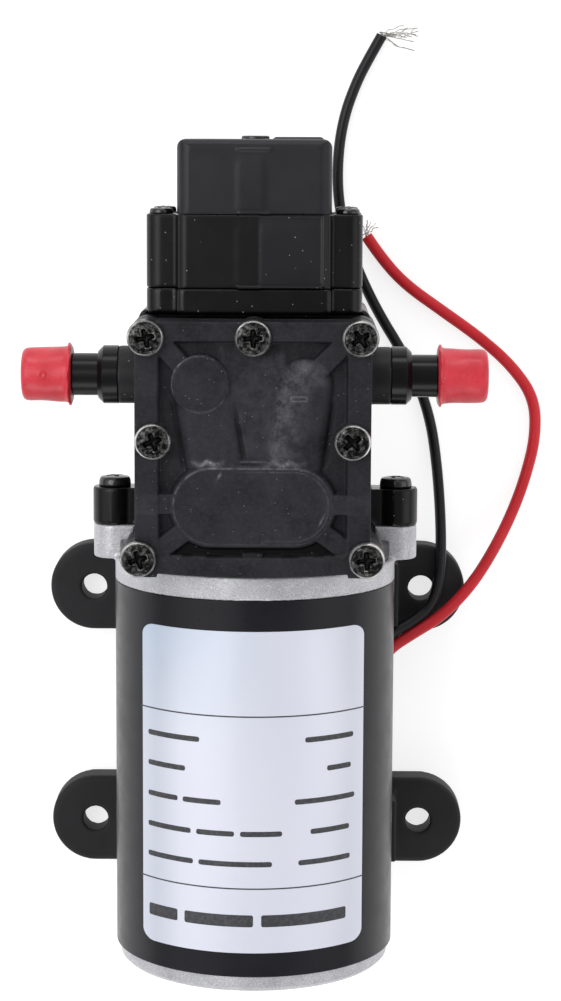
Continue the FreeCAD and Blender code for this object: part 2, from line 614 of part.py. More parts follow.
def turned(name, axis, outline, at=("0", "0"), along="0"):
    """A turned piece. Outline points are (distance along the axis, radius)."""
    body = doc.addObject("PartDesign::Body", name)
    if axis == "X":
        sketch = sketch_on(body, "XY_Plane", name + "_profile")
        polygon(sketch, outline)
        centre_line = "H_Axis"
    else:
        sketch = sketch_on(body, "XY_Plane" if axis == "Y" else "XZ_Plane", name + "_profile")
        polygon(sketch, [(radius, distance) for distance, radius in outline])
        centre_line = "V_Axis"
    spin = body.newObject("PartDesign::Revolution", name + "_turned")
    spin.Profile = sketch
    spin.ReferenceAxis = (sketch, [centre_line])
    spin.Angle = 360
    body.Tip = spin
    return place(body, *spot(axis, along, at))


def prism(name, axis, outline, low, high, corner=None, rim=None):
    """A padded outline. corner rounds its upright edges, rim its far edges."""
    body = doc.addObject("PartDesign::Body", name)
    sketch = sketch_on(body, SKETCH_PLANES[axis], name + "_outline")
    polygon(sketch, outline)
    start = f"-({high})" if axis == "Y" else low
    bind(sketch, AttachmentOffset__Base__z=start)
    pad = body.newObject("PartDesign::Pad", name + "_pad")
    pad.Profile = sketch
    bind(pad, Length=f"({high}) - ({low})")
    body.Tip = pad
    number = "XYZ".index(axis)
    for radius, is_wanted in ((corner, is_upright), (rim, is_at_far_end)):
        if radius is None:
            continue
        doc.recompute()
        base = body.Tip
        wanted = [
            f"Edge{i}"
            for i, edge in enumerate(base.Shape.Edges, start=1)
            if is_wanted(edge, number, base.Shape.BoundBox)
        ]
        rounding = body.newObject("PartDesign::Fillet", name + "_" + is_wanted.__name__)
        rounding.Base = (base, wanted)
        bind(rounding, Radius=radius)
        body.Tip = rounding
    return body


def is_upright(edge, number, box):
    ends = [vertex.Point for vertex in edge.Vertexes]
    if len(ends) != 2:
        return False
    apart = [abs(ends[0][k] - ends[1][k]) for k in range(3)]
    return all((apart[k] > 1e-6) == (k == number) for k in range(3))


def is_at_far_end(edge, number, box):
    far = (box.XMax, box.YMax, box.ZMax)[number]
    return all(abs(vertex.Point[number] - far) < 1e-6 for vertex in edge.Vertexes)


def rectangle(left, right, bottom, top):
    return [(left, bottom), (right, bottom), (right, top), (left, top)]


MOTOR = ("0", "axis_height")
PORTS = ("port_along", "port_height")
SWITCH = ("0", "switch_height")
SIDES = (("left", -1), ("right", 1))


def cross_recess(name, top, depth, reach, axis, at):
    """Two crossed slots that make the recess in a screw head."""
    half = "recess_half"
    x, y = at
    slots = []
    for arm, (long_way, short_way) in enumerate(((reach, half), (half, reach)), start=1):
        low = f"({top}) - ({depth})"
        high = f"({top}) + 0.1"
        first = (f"({x}) - ({long_way})", f"({x}) + ({long_way})")
        second = (f"({y}) - ({short_way})", f"({y}) + ({short_way})")
        if axis == "Z":
            slots.append(block(f"{name}_slot{arm}", first, second, (low, high)))
        else:
            slots.append(block(f"{name}_slot{arm}", first, (low, high), second))
    return slots


def pan_screw(name, axis, at, seat, head_radius, head_height, radius, depth):
    """A cross-recess screw whose head rests on seat and points up the axis."""
    outline = [
        (f"-({depth})", "0"),
        (f"-({depth})", radius),
        ("0", radius),
        ("0", head_radius),
        (f"0.55 * {head_height}", head_radius),
        (head_height, f"0.7 * {head_radius}"),
        (head_height, "0"),
    ]
    blank = turned(name + "_blank", axis, outline, at, seat)
    top = f"({seat}) + {head_height}"
    recess = cross_recess(name, top, f"0.5 * {head_height}", f"0.58 * {head_radius}", axis, at)
    return cut(name, blank, *recess)


# Motor

def oblong(name, radius, inner, outer):
    """A bar with rounded ends that points out of the can at the lead outlet."""
    half = "(lead_spacing / 2)"
    flat = block(
        name + "_middle",
        (inner, outer),
        (f"-{half}", half),
        (f"-({radius})", radius),
    )
    ends = [
        cylinder(f"{name}_{end}", radius, inner, outer, "X", (y, "0"))
        for end, y in (("rear", f"-{half}"), ("front", half))
    ]
    bar = join(name, flat, *ends)
    bar.Placement = Placement(Vector(), Rotation(Vector(0, 1, 0), size["lead_angle"]))
    return bind(
        bar,
        Placement__Rotation__Angle="lead_angle",
        Placement__Base__y="lead_place",
        Placement__Base__z="axis_height",
    )


def bracket_bores(name, radius):
    """Upright bores for the two bracket screws."""
    return [
        cylinder(
            f"{name}_bore_{end}",
            radius,
            "0",
            "axis_height / 2",
            "Z",
            ("0", f"{sign} * bracket_screw_spacing / 2"),
        )
        for end, sign in (("rear", -1), ("front", 1))
    ]


def build_can():
    hole_radius = "grommet_radius + seat_gap"
    can_hole = oblong("can_lead_hole", hole_radius, "can_inner - 1", "can_radius + 1")
    sleeve_hole = oblong("sleeve_lead_hole", hole_radius, "can_radius - 1", "sleeve_radius + 1")
    can_bores = bracket_bores("can", "bracket_screw_radius")
    sleeve_bores = bracket_bores("sleeve", "bracket_screw_radius + screw_gap")
    tube = turned(
        "can_tube",
        "Y",
        [
            ("can_rear", "can_inner"),
            ("can_rear", "can_radius"),
            ("can_front", "can_radius"),
            ("can_front", "can_inner"),
        ],
        MOTOR,
    )
    node(cut("motor_can", tube, can_hole, *can_bores))
    sleeve = turned(
        "sleeve_tube",
        "Y",
        [
            ("can_rear", "can_radius"),
            ("can_rear", "sleeve_radius"),
            ("can_front", "sleeve_radius"),
            ("can_front", "can_radius"),
        ],
        MOTOR,
    )
    node(cut("sleeve_wrap", sleeve, sleeve_hole, *sleeve_bores))
    label_ring = turned(
        "label_ring",
        "Y",
        [
            ("label_start", "sleeve_radius"),
            ("label_start", "sleeve_radius + label_thick"),
            ("label_end", "sleeve_radius + label_thick"),
            ("label_end", "sleeve_radius"),
        ],
        MOTOR,
    )
    label_outline = prism(
        "label_outline",
        "Z",
        rectangle("-label_width / 2", "label_width / 2", "label_start", "label_end"),
        "axis_height",
        "axis_height + sleeve_radius + 1",
        corner="label_corner",
    )
    node(common("rating_label", label_ring, label_outline))


def bolt_spots():
    return [
        (end, f"axis_height + {sign} * bolt_circle") for end, sign in (("low", -1), ("high", 1))
    ]


def build_front_end_cover():
    spigot = "can_front - spigot_depth"
    seat_start = "front_bearing_end - bearing_width"
    body = turned(
        "front_cover_casting",
        "Y",
        [
            (seat_start, "bearing_radius + seat_gap"),
            (seat_start, "hub_radius"),
            (spigot, "hub_radius"),
            (spigot, "can_inner - seat_gap"),
            ("can_front", "can_inner - seat_gap"),
            ("can_front", "sleeve_radius"),
            ("front_face", "sleeve_radius"),
            ("front_face", "shaft_radius + shaft_clearance"),
            ("front_bearing_end", "shaft_radius + shaft_clearance"),
            ("front_bearing_end", "bearing_radius + seat_gap"),
        ],
        MOTOR,
    )
    additions = []
    holes = []
    for side, sign in SIDES:
        centre = f"{sign} * ear_offset"
        near = "head_half + running_gap"
        reach = (near, "ear_offset") if sign > 0 else ("-ear_offset", f"-({near})")
        high = ("axis_height - ear_radius", "axis_height + ear_radius")
        spot_here = (centre, "axis_height")
        additions.append(
            cylinder(f"ear_{side}", "ear_radius", "ear_start", "ear_top", "Y", spot_here)
        )
        additions.append(block(f"ear_web_{side}", reach, ("ear_start", "ear_top"), high))
        start = "ear_start + blind_wall"
        holes.append(
            cylinder(f"ear_hole_{side}", "side_screw_radius", start, "ear_top + 1", "Y", spot_here)
        )
    for end, height in bolt_spots():
        holes.append(
            cylinder(
                f"front_bolt_hole_{end}",
                "bolt_radius",
                f"{spigot} - 1",
                "front_face - blind_wall",
                "Y",
                ("0", height),
            )
        )
    node(cut("front_end_cover", join("front_cover_with_ears", body, *additions), *holes))


def build_rear_end_cap():
    spigot = "can_rear + spigot_depth"
    hub_end = "rear_bearing_start + bearing_width"
    body = turned(
        "rear_cap_casting",
        "Y",
        [
            ("rear_face", "0"),
            ("rear_face", "rear_radius - rear_edge"),
            ("rear_face + rear_edge", "rear_radius"),
            ("can_rear", "rear_radius"),
            ("can_rear", "can_inner - seat_gap"),
            (spigot, "can_inner - seat_gap"),
            (spigot, "hub_radius"),
            (hub_end, "hub_radius"),
            (hub_end, "bearing_radius + seat_gap"),
            ("rear_bearing_start", "bearing_radius + seat_gap"),
            ("rear_bearing_start", "0"),
        ],
        MOTOR,
    )
    holes = []
    for end, height in bolt_spots():
        through = cylinder(
            f"rear_bolt_hole_{end}",
            "bolt_radius + seat_gap",
            "rear_face - 1",
            f"{spigot} + 1",
            "Y",
            ("0", height),
        )
        pocket = cylinder(
            f"rear_bolt_pocket_{end}",
            "bolt_head_radius + seat_gap",
            "rear_face - 1",
            "rear_face + bolt_head_depth",
            "Y",
            ("0", height),
        )
        holes += [through, pocket]
    node(cut("rear_end_cap", body, *holes))


def build_through_bolts():
    bolts = []
    for end, height in bolt_spots():
        outline = [
            ("rear_face", "0"),
            ("rear_face", "bolt_head_radius"),
            ("rear_face + bolt_head_depth", "bolt_head_radius"),
            ("rear_face + bolt_head_depth", "bolt_radius"),
            ("front_face - blind_wall", "bolt_radius"),
            ("front_face - blind_wall", "0"),
        ]
        bolts.append(turned(f"through_bolt_{end}", "Y", outline, ("0", height)))
    node(group("through_bolts", *bolts))


def build_magnets():
    middle = "(core_start + core_length / 2)"
    start = f"{middle} - magnet_length / 2"
    end = f"{middle} + magnet_length / 2"
    inner = "core_radius + air_gap"
    for side, sign in SIDES:
        name = f"magnet_{side}"
        body = doc.addObject("PartDesign::Body", name)
        sketch = sketch_on(body, "XY_Plane", name + "_profile")
        polygon(
            sketch,
            [
                (inner, start),
                ("can_inner - seat_gap", start),
                ("can_inner - seat_gap", end),
                (inner, end),
            ],
        )
        spin = body.newObject("PartDesign::Revolution", name + "_arc")
        spin.Profile = sketch
        spin.ReferenceAxis = (sketch, ["V_Axis"])
        bind(spin, Angle="magnet_angle")
        body.Tip = spin
        place(body, "0", "0", "axis_height", Rotation(Vector(0, 1, 0), 10))
        base_angle = "0" if sign > 0 else "180"
        bind(body, Placement__Rotation__Angle=f"{base_angle} - magnet_angle / 2")
        node(body)


def bearing(name, inner, outer, start, width, axis_at):
    """A sealed ball bearing as one ring with a set-back shield on each side."""
    end = f"{start} + {width}"
    outline = [
        (start, inner),
        (start, f"{inner} + bearing_lip"),
        (f"{start} + shield_depth", f"{inner} + bearing_lip"),
        (f"{start} + shield_depth", f"{outer} - bearing_lip"),
        (start, f"{outer} - bearing_lip"),
        (start, outer),
        (end, outer),
        (end, f"{outer} - bearing_lip"),
        (f"{end} - shield_depth", f"{outer} - bearing_lip"),
        (f"{end} - shield_depth", f"{inner} + bearing_lip"),
        (end, f"{inner} + bearing_lip"),
        (end, inner),
    ]
    return node(turned(name, "Y", outline, axis_at))


def build_bearings():
    bore = "shaft_radius + running_fit"
    front = "(front_bearing_end - bearing_width)"
    bearing("rear_bearing", bore, "bearing_radius", "rear_bearing_start", "bearing_width", MOTOR)
    bearing("front_bearing", bore, "bearing_radius", front, "bearing_width", MOTOR)


def build_shaft():
    step = "hub_start - shaft_shoulder"
    end = "rod_middle + rod_bearing_width / 2 + shaft_overhang"
    outline = [
        ("rear_bearing_start + running_gap", "0"),
        ("rear_bearing_start + running_gap", "shaft_radius"),
        (step, "shaft_radius"),
        (step, "shaft_end_radius"),
        (end, "shaft_end_radius"),
        (end, "0"),
    ]
    node(turned("motor_shaft", "Y", outline, MOTOR))


def build_armature():
    core_end = "core_start + core_length"
    stack = turned(
        "core_stack",
        "Y",
        [
            ("core_start", "shaft_radius"),
            ("core_start", "core_radius"),
            (core_end, "core_radius"),
            (core_end, "shaft_radius"),
        ],
        MOTOR,
    )
    slots = []
    slot_count = 10
    for index in range(slot_count):
        slot = doc.addObject("Part::Box", f"core_slot{index}")
        bind(
            slot,
            Length="2 * slot_half_width",
            Width="core_length + 2",
            Height="slot_depth + 1",
        )
        turn = 360.0 * index / slot_count
        slot.Placement = Placement(Vector(), Rotation(Vector(0, 1, 0), turn))
        angle = f"{turn}"
        out = "(core_radius - slot_depth)"
        shift = "slot_half_width"
        bind(
            slot,
            Placement__Base__x=f"{out} * sin({angle}) - {shift} * cos({angle})",
            Placement__Base__y="core_start - 1",
            Placement__Base__z=f"axis_height + {out} * cos({angle}) + {shift} * sin({angle})",
        )
        slots.append(slot)
    node(cut("armature_core", stack, *slots))
    coils = []
    bore = "shaft_radius + shaft_clearance"
    for end, start, finish in (
        ("rear", "core_start - winding_reach", "core_start - winding_gap"),
        ("front", f"{core_end} + winding_gap", f"{core_end} + winding_reach"),
    ):
        outline = [
            (start, bore),
            (start, "winding_radius - winding_taper"),
            (f"({start} + {finish}) / 2", "winding_radius"),
            (finish, "winding_radius"),
            (finish, bore),
        ]
        if end == "front":
            outline = [
                (start, bore),
                (start, "winding_radius"),
                (f"({start} + {finish}) / 2", "winding_radius"),
                (finish, "winding_radius - winding_taper"),
                (finish, bore),
            ]
        coils.append(turned(f"end_turns_{end}", "Y", outline, MOTOR))
    node(group("armature_windings", *coils))


def build_commutator():
    end = "commutator_start + commutator_length"
    riser = "commutator_start + riser_length"
    outline = [
        ("commutator_start", "shaft_radius"),
        ("commutator_start", "commutator_radius + riser_step"),
        (riser, "commutator_radius + riser_step"),
        (riser, "commutator_radius"),
        (end, "commutator_radius"),
        (end, "shaft_radius"),
    ]
    ring = turned("commutator_ring", "Y", outline, MOTOR)
    grooves = []
    segments = 10
    for index in range(segments):
        groove = doc.addObject("Part::Box", f"commutator_groove{index}")
        bind(groove, Length="groove_width", Width="commutator_length + 2", Height="groove_depth + 2")
        turn = 360.0 * index / segments
        groove.Placement = Placement(Vector(), Rotation(Vector(0, 1, 0), turn))
        out = "(commutator_radius - groove_depth)"
        half = "groove_width / 2"
        bind(
            groove,
            Placement__Base__x=f"{out} * sin({turn}) - {half} * cos({turn})",
            Placement__Base__y="commutator_start - 1",
            Placement__Base__z=f"axis_height + {out} * cos({turn}) + {half} * sin({turn})",
        )
        grooves.append(groove)
    node(cut("commutator", ring, *grooves))


def build_brush_gear():
    card = turned(
        "card_disc",
        "Y",
        [
            ("card_place", "card_bore"),
            ("card_place", "can_inner - card_gap"),
            ("card_place + card_thick", "can_inner - card_gap"),
            ("card_place + card_thick", "card_bore"),
        ],
        MOTOR,
    )
    notches = [
        cylinder(
            f"card_notch_{end}",
            "bolt_radius + notch_gap",
            "card_place - 1",
            "card_place + card_thick + 1",
            "Y",
            ("0", height),
        )
        for end, height in bolt_spots()
    ]
    node(cut("brush_card", card, *notches))

    holders = []
    half_along = "brush_width / 2 + brush_gap"
    half_high = "brush_height / 2 + brush_gap"
    for side, sign in SIDES:
        def reach(inner, outer, sign=sign):
            return (inner, outer) if sign > 0 else (f"-({outer})", f"-({inner})")

        shell = block(
            f"holder_shell_{side}",
            reach("holder_inner", "holder_outer"),
            (f"brush_middle - ({half_along}) - holder_wall", "card_place"),
            (
                f"axis_height - ({half_high}) - holder_wall",
                f"axis_height + {half_high} + holder_wall",
            ),
        )
        tunnel = block(
            f"holder_tunnel_{side}",
            reach("holder_inner - 1", "holder_outer - holder_wall"),
            (f"brush_middle - ({half_along})", f"brush_middle + {half_along}"),
            (f"axis_height - ({half_high})", f"axis_height + {half_high}"),
        )
        holders.append(cut(f"brush_holder_{side}", shell, tunnel))
        carbon = block(
            f"brush_blank_{side}",
            reach("commutator_radius - 2", "brush_back"),
            ("brush_middle - brush_width / 2", "brush_middle + brush_width / 2"),
            ("axis_height - brush_height / 2", "axis_height + brush_height / 2"),
        )
        face = cylinder(
            f"brush_face_{side}",
            "commutator_radius + brush_gap",
            "brush_middle - brush_width",
            "brush_middle + brush_width",
            "Y",
            MOTOR,
        )
        node(cut(f"brush_{side}", carbon, face))
    node(group("brush_holders", *holders))


def coil(name, radius, wire, height, turns, at, turn):
    """An open coil as one tube on arcs of a quarter turn each."""
    steps = 4 * turns

    def point(share):
        angle = 2 * math.pi * turns * share
        return Vector(radius * math.cos(angle), radius * math.sin(angle), height * share)

    arcs = []
    for k in range(steps):
        ends = point(k / steps), point((k + 0.5) / steps), point((k + 1) / steps)
        arcs.append(Part.Arc(*ends).toShape())
    path = Part.Wire(arcs)
    start = path.Edges[0]
    direction = start.tangentAt(start.FirstParameter)
    section = Part.Wire([Part.makeCircle(wire, point(0), direction)])
    item = doc.addObject("Part::Feature", name)
    item.Shape = path.makePipeShell([section], True, False)
    place(item, *at, turn=turn)
    gap = height / turns - 2 * wire
    print(f"{name}: {turns} turns, gap between turns {gap:.2f} mm")
    return item


def build_brush_springs():
    wire = size["spring_wire"]
    back = size["commutator_radius"] + size["brush_gap"] + size["brush_length"] + size["seat_gap"]
    stop = size["holder_outer"] - size["holder_wall"] - size["seat_gap"]
    radius = size["brush_height"] / 2 - wire - 2 * size["brush_gap"]
    springs = []
    for side, sign in SIDES:
        turn = Rotation(Vector(0, 0, 1), Vector(sign, 0, 0))
        at = (f"{sign} * (brush_back + seat_gap + spring_wire)", "brush_middle", "axis_height")
        length = stop - back - 2 * wire
        springs.append(coil(f"brush_spring_{side}", radius, wire, length, 4, at, turn))
    node(group("brush_springs", *springs))


def build_grommet():
    reach = "grommet_reach"
    plug = oblong("grommet_plug", "grommet_radius", "can_inner - 1", reach)
    collar = oblong(
        "grommet_collar_ring",
        "grommet_radius + grommet_collar",
        "sleeve_radius + grommet_rise",
        "grommet_reach - grommet_step",
    )
    node(join("lead_grommet", plug, collar))


# Feet

def build_bracket():
    top = "(bracket_level + bracket_thick)"
    strip = block(
        "bracket_strip",
        ("-bracket_half", "bracket_half"),
        ("-bracket_end", "bracket_end"),
        ("bracket_level", top),
    )
    parts = [strip]
    holes = [
        cylinder(
            "bracket_relief",
            "sleeve_radius + seat_gap",
            "-2 * bracket_end",
            "2 * bracket_end",
            "Y",
            MOTOR,
        )
    ]
    for end, sign in (("rear", -1), ("front", 1)):
        centre = f"({sign} * foot_along)"
        lugs = block(
            f"bracket_lugs_{end}",
            ("-lug_reach", "lug_reach"),
            (f"{centre} - lug_half", f"{centre} + lug_half"),
            ("bracket_level", top),
        )
        saddle = block(
            f"bracket_saddle_{end}",
            ("-saddle_half", "saddle_half"),
            (f"{centre} - lug_half - saddle_overhang", f"{centre} + lug_half + saddle_overhang"),
            ("bracket_level", "axis_height - sleeve_radius + saddle_rise"),
        )
        parts += [lugs, saddle]
    holes += bracket_bores("bracket", "bracket_screw_radius + screw_gap")
    node(cut("mount_bracket", join("bracket_steel", *parts), *holes))


def build_bracket_screws():
    """Two screws from below that clamp the bracket to the can."""
    screws = []
    can_bottom = "(axis_height - can_radius)"
    for end, sign in (("rear", -1), ("front", 1)):
        outline = [
            ("bracket_level - bracket_head_height", "0"),
            ("bracket_level - bracket_head_height", "0.75 * bracket_head_radius"),
            ("bracket_level - 0.4 * bracket_head_height", "bracket_head_radius"),
            ("bracket_level", "bracket_head_radius"),
            ("bracket_level", "bracket_screw_radius"),
            (f"{can_bottom} + can_wall - screw_end_gap", "bracket_screw_radius"),
            (f"{can_bottom} + can_wall - screw_end_gap", "0"),
        ]
        place_along = f"{sign} * bracket_screw_spacing / 2"
        screws.append(turned(f"bracket_screw_{end}", "Z", outline, ("0", place_along)))
    node(group("bracket_screws", *screws))


def build_foot(name, sign_x, sign_y):
    """A rubber foot, drawn about its own hole with its free end towards +X."""
    inner = "(foot_inner - foot_across)"
    cheek = "(foot_cheek_outer - foot_across)"
    tab = join(
        name + "_tab",
        block(
            name + "_tongue",
            (inner, "0"),
            ("-foot_end_radius", "foot_end_radius"),
            ("0", "foot_height"),
        ),
        cylinder(name + "_end", "foot_end_radius", "0", "foot_height"),
    )
    doc.recompute()
    top = size["foot_height"]
    soft = doc.addObject("Part::Fillet", name + "_soft")
    soft.Base = tab
    inner_end = size["foot_inner"] - size["foot_spacing_across"] / 2
    upper = []
    for number, edge in enumerate(tab.Shape.Edges, start=1):
        box = edge.BoundBox
        at_top = box.ZMin > top - 1e-6
        at_inner_end = box.XMax < inner_end + 1e-6
        if at_top and not at_inner_end:
            upper.append((number, size["foot_edge"], size["foot_edge"]))
    soft.Edges = upper
    ridge = block(
        name + "_cheek",
        (inner, cheek),
        ("-foot_cheek_half", "foot_cheek_half"),
        ("foot_height - 1", "foot_cheek_height"),
    )
    rubber = join(name + "_rubber", soft, ridge)
    tools = [
        cylinder(name + "_hole", "foot_hole_radius", "-1", "foot_height + 1"),
        cylinder(
            name + "_can_relief",
            "sleeve_radius + seat_gap",
            "-20",
            "20",
            "Y",
            ("-foot_across", "axis_height"),
        ),
        block(
            name + "_lug_slot",
            (f"{inner} - 1", "lug_reach + seat_gap - foot_across"),
            ("-lug_half - seat_gap", "lug_half + seat_gap"),
            ("bracket_level - seat_gap", "bracket_level + bracket_thick + seat_gap"),
        ),
    ]
    foot = cut(name, rubber, *tools)
    place(
        foot,
        f"{sign_x} * foot_across",
        f"{sign_y} * foot_along",
        "0",
        Rotation() if sign_x > 0 else HALF_TURN,
    )
    return node(foot)


def build_feet():
    for side, sign_x in SIDES:
        for end, sign_y in (("rear", -1), ("front", 1)):
            build_foot(f"foot_{end}_{side}", sign_x, sign_y)


# Pump head

def cover_screw_spots():
    spots = [("top_middle", "0", "top_screw_along")]
    for side, sign in SIDES:
        for level in ("top", "mid", "low"):
            across = f"({sign} * {level}_screw_across)"
            spots.append((f"{level}_{side}", across, f"{level}_screw_along"))
    return spots


def lobes(name, low, high):
    return [
        cylinder(f"{name}_lobe_{where}", "lobe_radius", low, high, "Z", (x, y))
        for where, x, y in cover_screw_spots()
    ]


def screw_holes(name, radius, low, high):
    return [
        cylinder(f"{name}_hole_{where}", radius, low, high, "Z", (x, y))
        for where, x, y in cover_screw_spots()
    ]


def switch_screw_spots():
    spots = []
    for side, sign in SIDES:
        for level, up in (("low", -1), ("high", 1)):
            across = f"({sign} * switch_screw_across)"
            height = f"(switch_height + {up} * switch_screw_high)"
            spots.append((f"{level}_{side}", sign, across, height))
    return spots


def switch_bosses(name, start, end):
    """Four round screw bosses on webs at the sides of the switch."""
    parts = []
    for where, sign, across, height in switch_screw_spots():
        parts.append(
            cylinder(f"{name}_boss_{where}", "switch_boss_radius", start, end, "Y", (across, height))
        )
        inner = "(switch_half_across - 1)"
        reach = (inner, across) if sign > 0 else (across, f"-{inner}")
        rise = (f"{height} - switch_boss_radius", f"{height} + switch_boss_radius")
        parts.append(block(f"{name}_web_{where}", reach, (start, end), rise))
    return parts


def build_pump_housing():
    chest = prism(
        "housing_chest",
        "Z",
        rectangle("-head_half", "head_half", "front_face", "housing_end"),
        "housing_bottom",
        "parting_height",
        corner="head_corner",
    )
    barrel = cylinder("housing_barrel", "barrel_radius", "front_face", "barrel_end", "Y", MOTOR)
    flange = cylinder(
        "housing_flange", "flange_radius", "front_face", "front_face + flange_thick", "Y", MOTOR
    )
    ports = cylinder(
        "housing_ports", "port_boss_radius", "-port_boss_reach", "port_boss_reach", "X", PORTS
    )
    seat_start = "(top_screw_along + lobe_radius + running_gap)"
    seat = prism(
        "switch_seat",
        "Y",
        rectangle(
            "-switch_half_across",
            "switch_half_across",
            "switch_height - switch_half_high",
            "switch_height + switch_half_high",
        ),
        seat_start,
        "switch_base_end",
        corner="switch_edge",
    )
    parts = [chest, barrel, flange, ports, seat]
    parts += lobes("housing", "parting_height - lobe_depth", "parting_height")
    parts += switch_bosses("housing", seat_start, "switch_base_end")
    gaps = []
    for side, sign in SIDES:
        centre = f"({sign} * ear_offset)"
        parts.append(
            cylinder(
                f"side_boss_{side}",
                "side_boss_radius",
                "ear_top",
                "side_boss_top",
                "Y",
                (centre, "axis_height"),
            )
        )
        reach = ("head_half - 3", "ear_offset") if sign > 0 else ("-ear_offset", "3 - head_half")
        rise = ("axis_height - side_web_half", "axis_height + side_web_half")
        parts.append(block(f"side_web_{side}", reach, ("ear_top", "side_boss_top"), rise))
        gaps.append(
            cylinder(
                f"side_hole_{side}",
                "side_screw_radius + screw_gap",
                "ear_top - 1",
                "side_boss_top + 1",
                "Y",
                (centre, "axis_height"),
            )
        )
        notch = ("head_half", "2 * ear_offset") if sign > 0 else ("-2 * ear_offset", "-head_half")
        clear = (
            "axis_height - ear_radius - running_gap",
            "axis_height + ear_radius + running_gap",
        )
        gaps.append(block(f"ear_notch_{side}", notch, ("front_face - 1", "ear_top"), clear))
        port_reach = (
            ("port_boss_reach - spigot_length - seat_gap", "port_boss_reach + 1")
            if sign > 0
            else ("-port_boss_reach - 1", "spigot_length + seat_gap - port_boss_reach")
        )
        gaps.append(
            cylinder(f"port_seat_{side}", "spigot_radius + port_gap", *port_reach, "X", PORTS)
        )
        gaps.append(
            cylinder(
                f"riser_{side}",
                "riser_radius",
                "port_height - 0.4",
                "parting_height + 1",
                "Z",
                (f"{sign} * way_across", "port_along"),
            )
        )
    gaps.append(cylinder("inlet_way", "way_radius", "-port_boss_reach", "-way_across", "X", PORTS))
    gaps.append(cylinder("outlet_way", "way_radius", "outlet_way_end", "port_boss_reach", "X", PORTS))
    gaps.append(
        cylinder(
            "sensor_way",
            "sensor_way_radius",
            "port_along",
            "switch_base_end - sensor_thick - 1",
            "Y",
            ("sensor_way_across", "port_height"),
        )
    )
    gaps.append(
        cylinder(
            "sensor_space",
            "sensor_chamber",
            "switch_base_end - sensor_thick - 2",
            "switch_base_end + 1",
            "Y",
            SWITCH,
        )
    )
    gaps.append(
        cylinder(
            "sensor_seat",
            "sensor_radius + seat_gap",
            "switch_base_end - sensor_thick",
            "switch_base_end + 1",
            "Y",
            SWITCH,
        )
    )
    gaps.append(
        cylinder("hub_room", "hub_space", "front_face - 1", "crank_end", "Y", MOTOR)
    )
    gaps.append(
        cylinder(
            "crank_room",
            "crank_radius",
            "rod_middle - rod_width / 2 - crank_gap",
            "rod_middle + rod_width / 2 + crank_gap",
            "Y",
            MOTOR,
        )
    )
    middle = ("0", "rod_middle")
    gaps.append(
        cylinder(
            "bore_under_diaphragm",
            "bead_radius - bead_width - running_gap",
            "axis_height",
            "parting_height + 1",
            "Z",
            middle,
        )
    )
    gaps.append(
        cylinder(
            "bead_seat",
            "bead_radius + seat_gap",
            "parting_height - bead_height",
            "parting_height + 1",
            "Z",
            middle,
        )
    )
    gaps.append(
        block(
            "above_parting",
            ("-2 * head_half", "2 * head_half"),
            ("0", seat_start),
            ("parting_height", "2 * parting_height"),
        )
    )
    thread_end = "parting_height - cover_screw_depth - screw_end_room"
    gaps += screw_holes("housing", "cover_screw_radius", thread_end, "parting_height + 1")
    for where, sign, across, height in switch_screw_spots():
        gaps.append(
            cylinder(
                f"switch_pilot_{where}",
                "switch_screw_radius",
                "switch_base_end - switch_screw_depth - screw_gap",
                "switch_base_end + 1",
                "Y",
                (across, height),
            )
        )
    node(cut("pump_housing", join("housing_blank", *parts), *gaps))


def head_plate(name, low, high):
    """The outline that the valve plate and the front cover share."""
    plate = prism(
        name + "_blank",
        "Z",
        rectangle("-head_half", "head_half", "head_start", "head_end"),
        low,
        high,
        corner="head_corner",
    )
    return join(name + "_outline", plate, *lobes(name, low, high))


def ring_of_holes(name, across, low, high):
    """Five small water holes round a valve's stem."""
    holes = []
    for number in range(5):
        angle = 72 * number + 36
        x = f"{across} + valve_hole_circle * cos({angle})"
        y = f"stadium_along + valve_hole_circle * sin({angle})"
        holes.append(cylinder(f"{name}{number}", "valve_hole_radius", low, high, "Z", (x, y)))
    return holes


def build_valve_plate():
    low = "parting_height"
    blank = head_plate("valve_ports", low, "plate_top")
    ceiling = "(parting_height + chamber_depth)"
    gaps = screw_holes("valve_plate", "cover_screw_radius + screw_gap", f"{low} - 1", "plate_top + 1")
    gaps.append(
        cylinder("chamber", "chamber_radius", f"{low} - 1", ceiling, "Z", ("0", "rod_middle"))
    )
    for side, sign in SIDES:
        gaps.append(
            cylinder(
                f"plate_riser_{side}",
                "riser_radius",
                f"{low} - 1",
                "plate_top + 1",
                "Z",
                (f"{sign} * way_across", "port_along"),
            )
        )
        across = f"({sign} * valve_across)"
        spot_here = (across, "stadium_along")
        gaps += ring_of_holes(f"valve_port_{side}", across, f"{ceiling} - 1", "plate_top + 1")
        gaps.append(
            cylinder(
                f"stem_hole_{side}",
                "valve_stem + stem_gap",
                f"{ceiling} - 1",
                "plate_top + 1",
                "Z",
                spot_here,
            )
        )
        pocket_radius = "valve_radius + running_gap"
        gaps.append(
            cylinder(
                f"valve_pocket_{side}",
                pocket_radius,
                f"{ceiling} - 1",
                "plate_top - valve_wall",
                "Z",
                spot_here,
            )
        )
    node(cut("valve_plate", blank, *gaps))


def water_box(name, grow, low, high, sign):
    """Half of the raised valve box, or of the space inside it."""
    reach = "(stadium_half - stadium_radius)"
    radius = f"(stadium_radius - {grow})"
    near = "box_middle"
    across = (near, reach) if sign > 0 else (f"-{reach}", f"-{near}")
    return [
        block(
            name + "_flat",
            across,
            (f"stadium_along - {radius}", f"stadium_along + {radius}"),
            (low, high),
        ),
        cylinder(name + "_round", radius, low, high, "Z", (f"{sign} * {reach}", "stadium_along")),
    ]


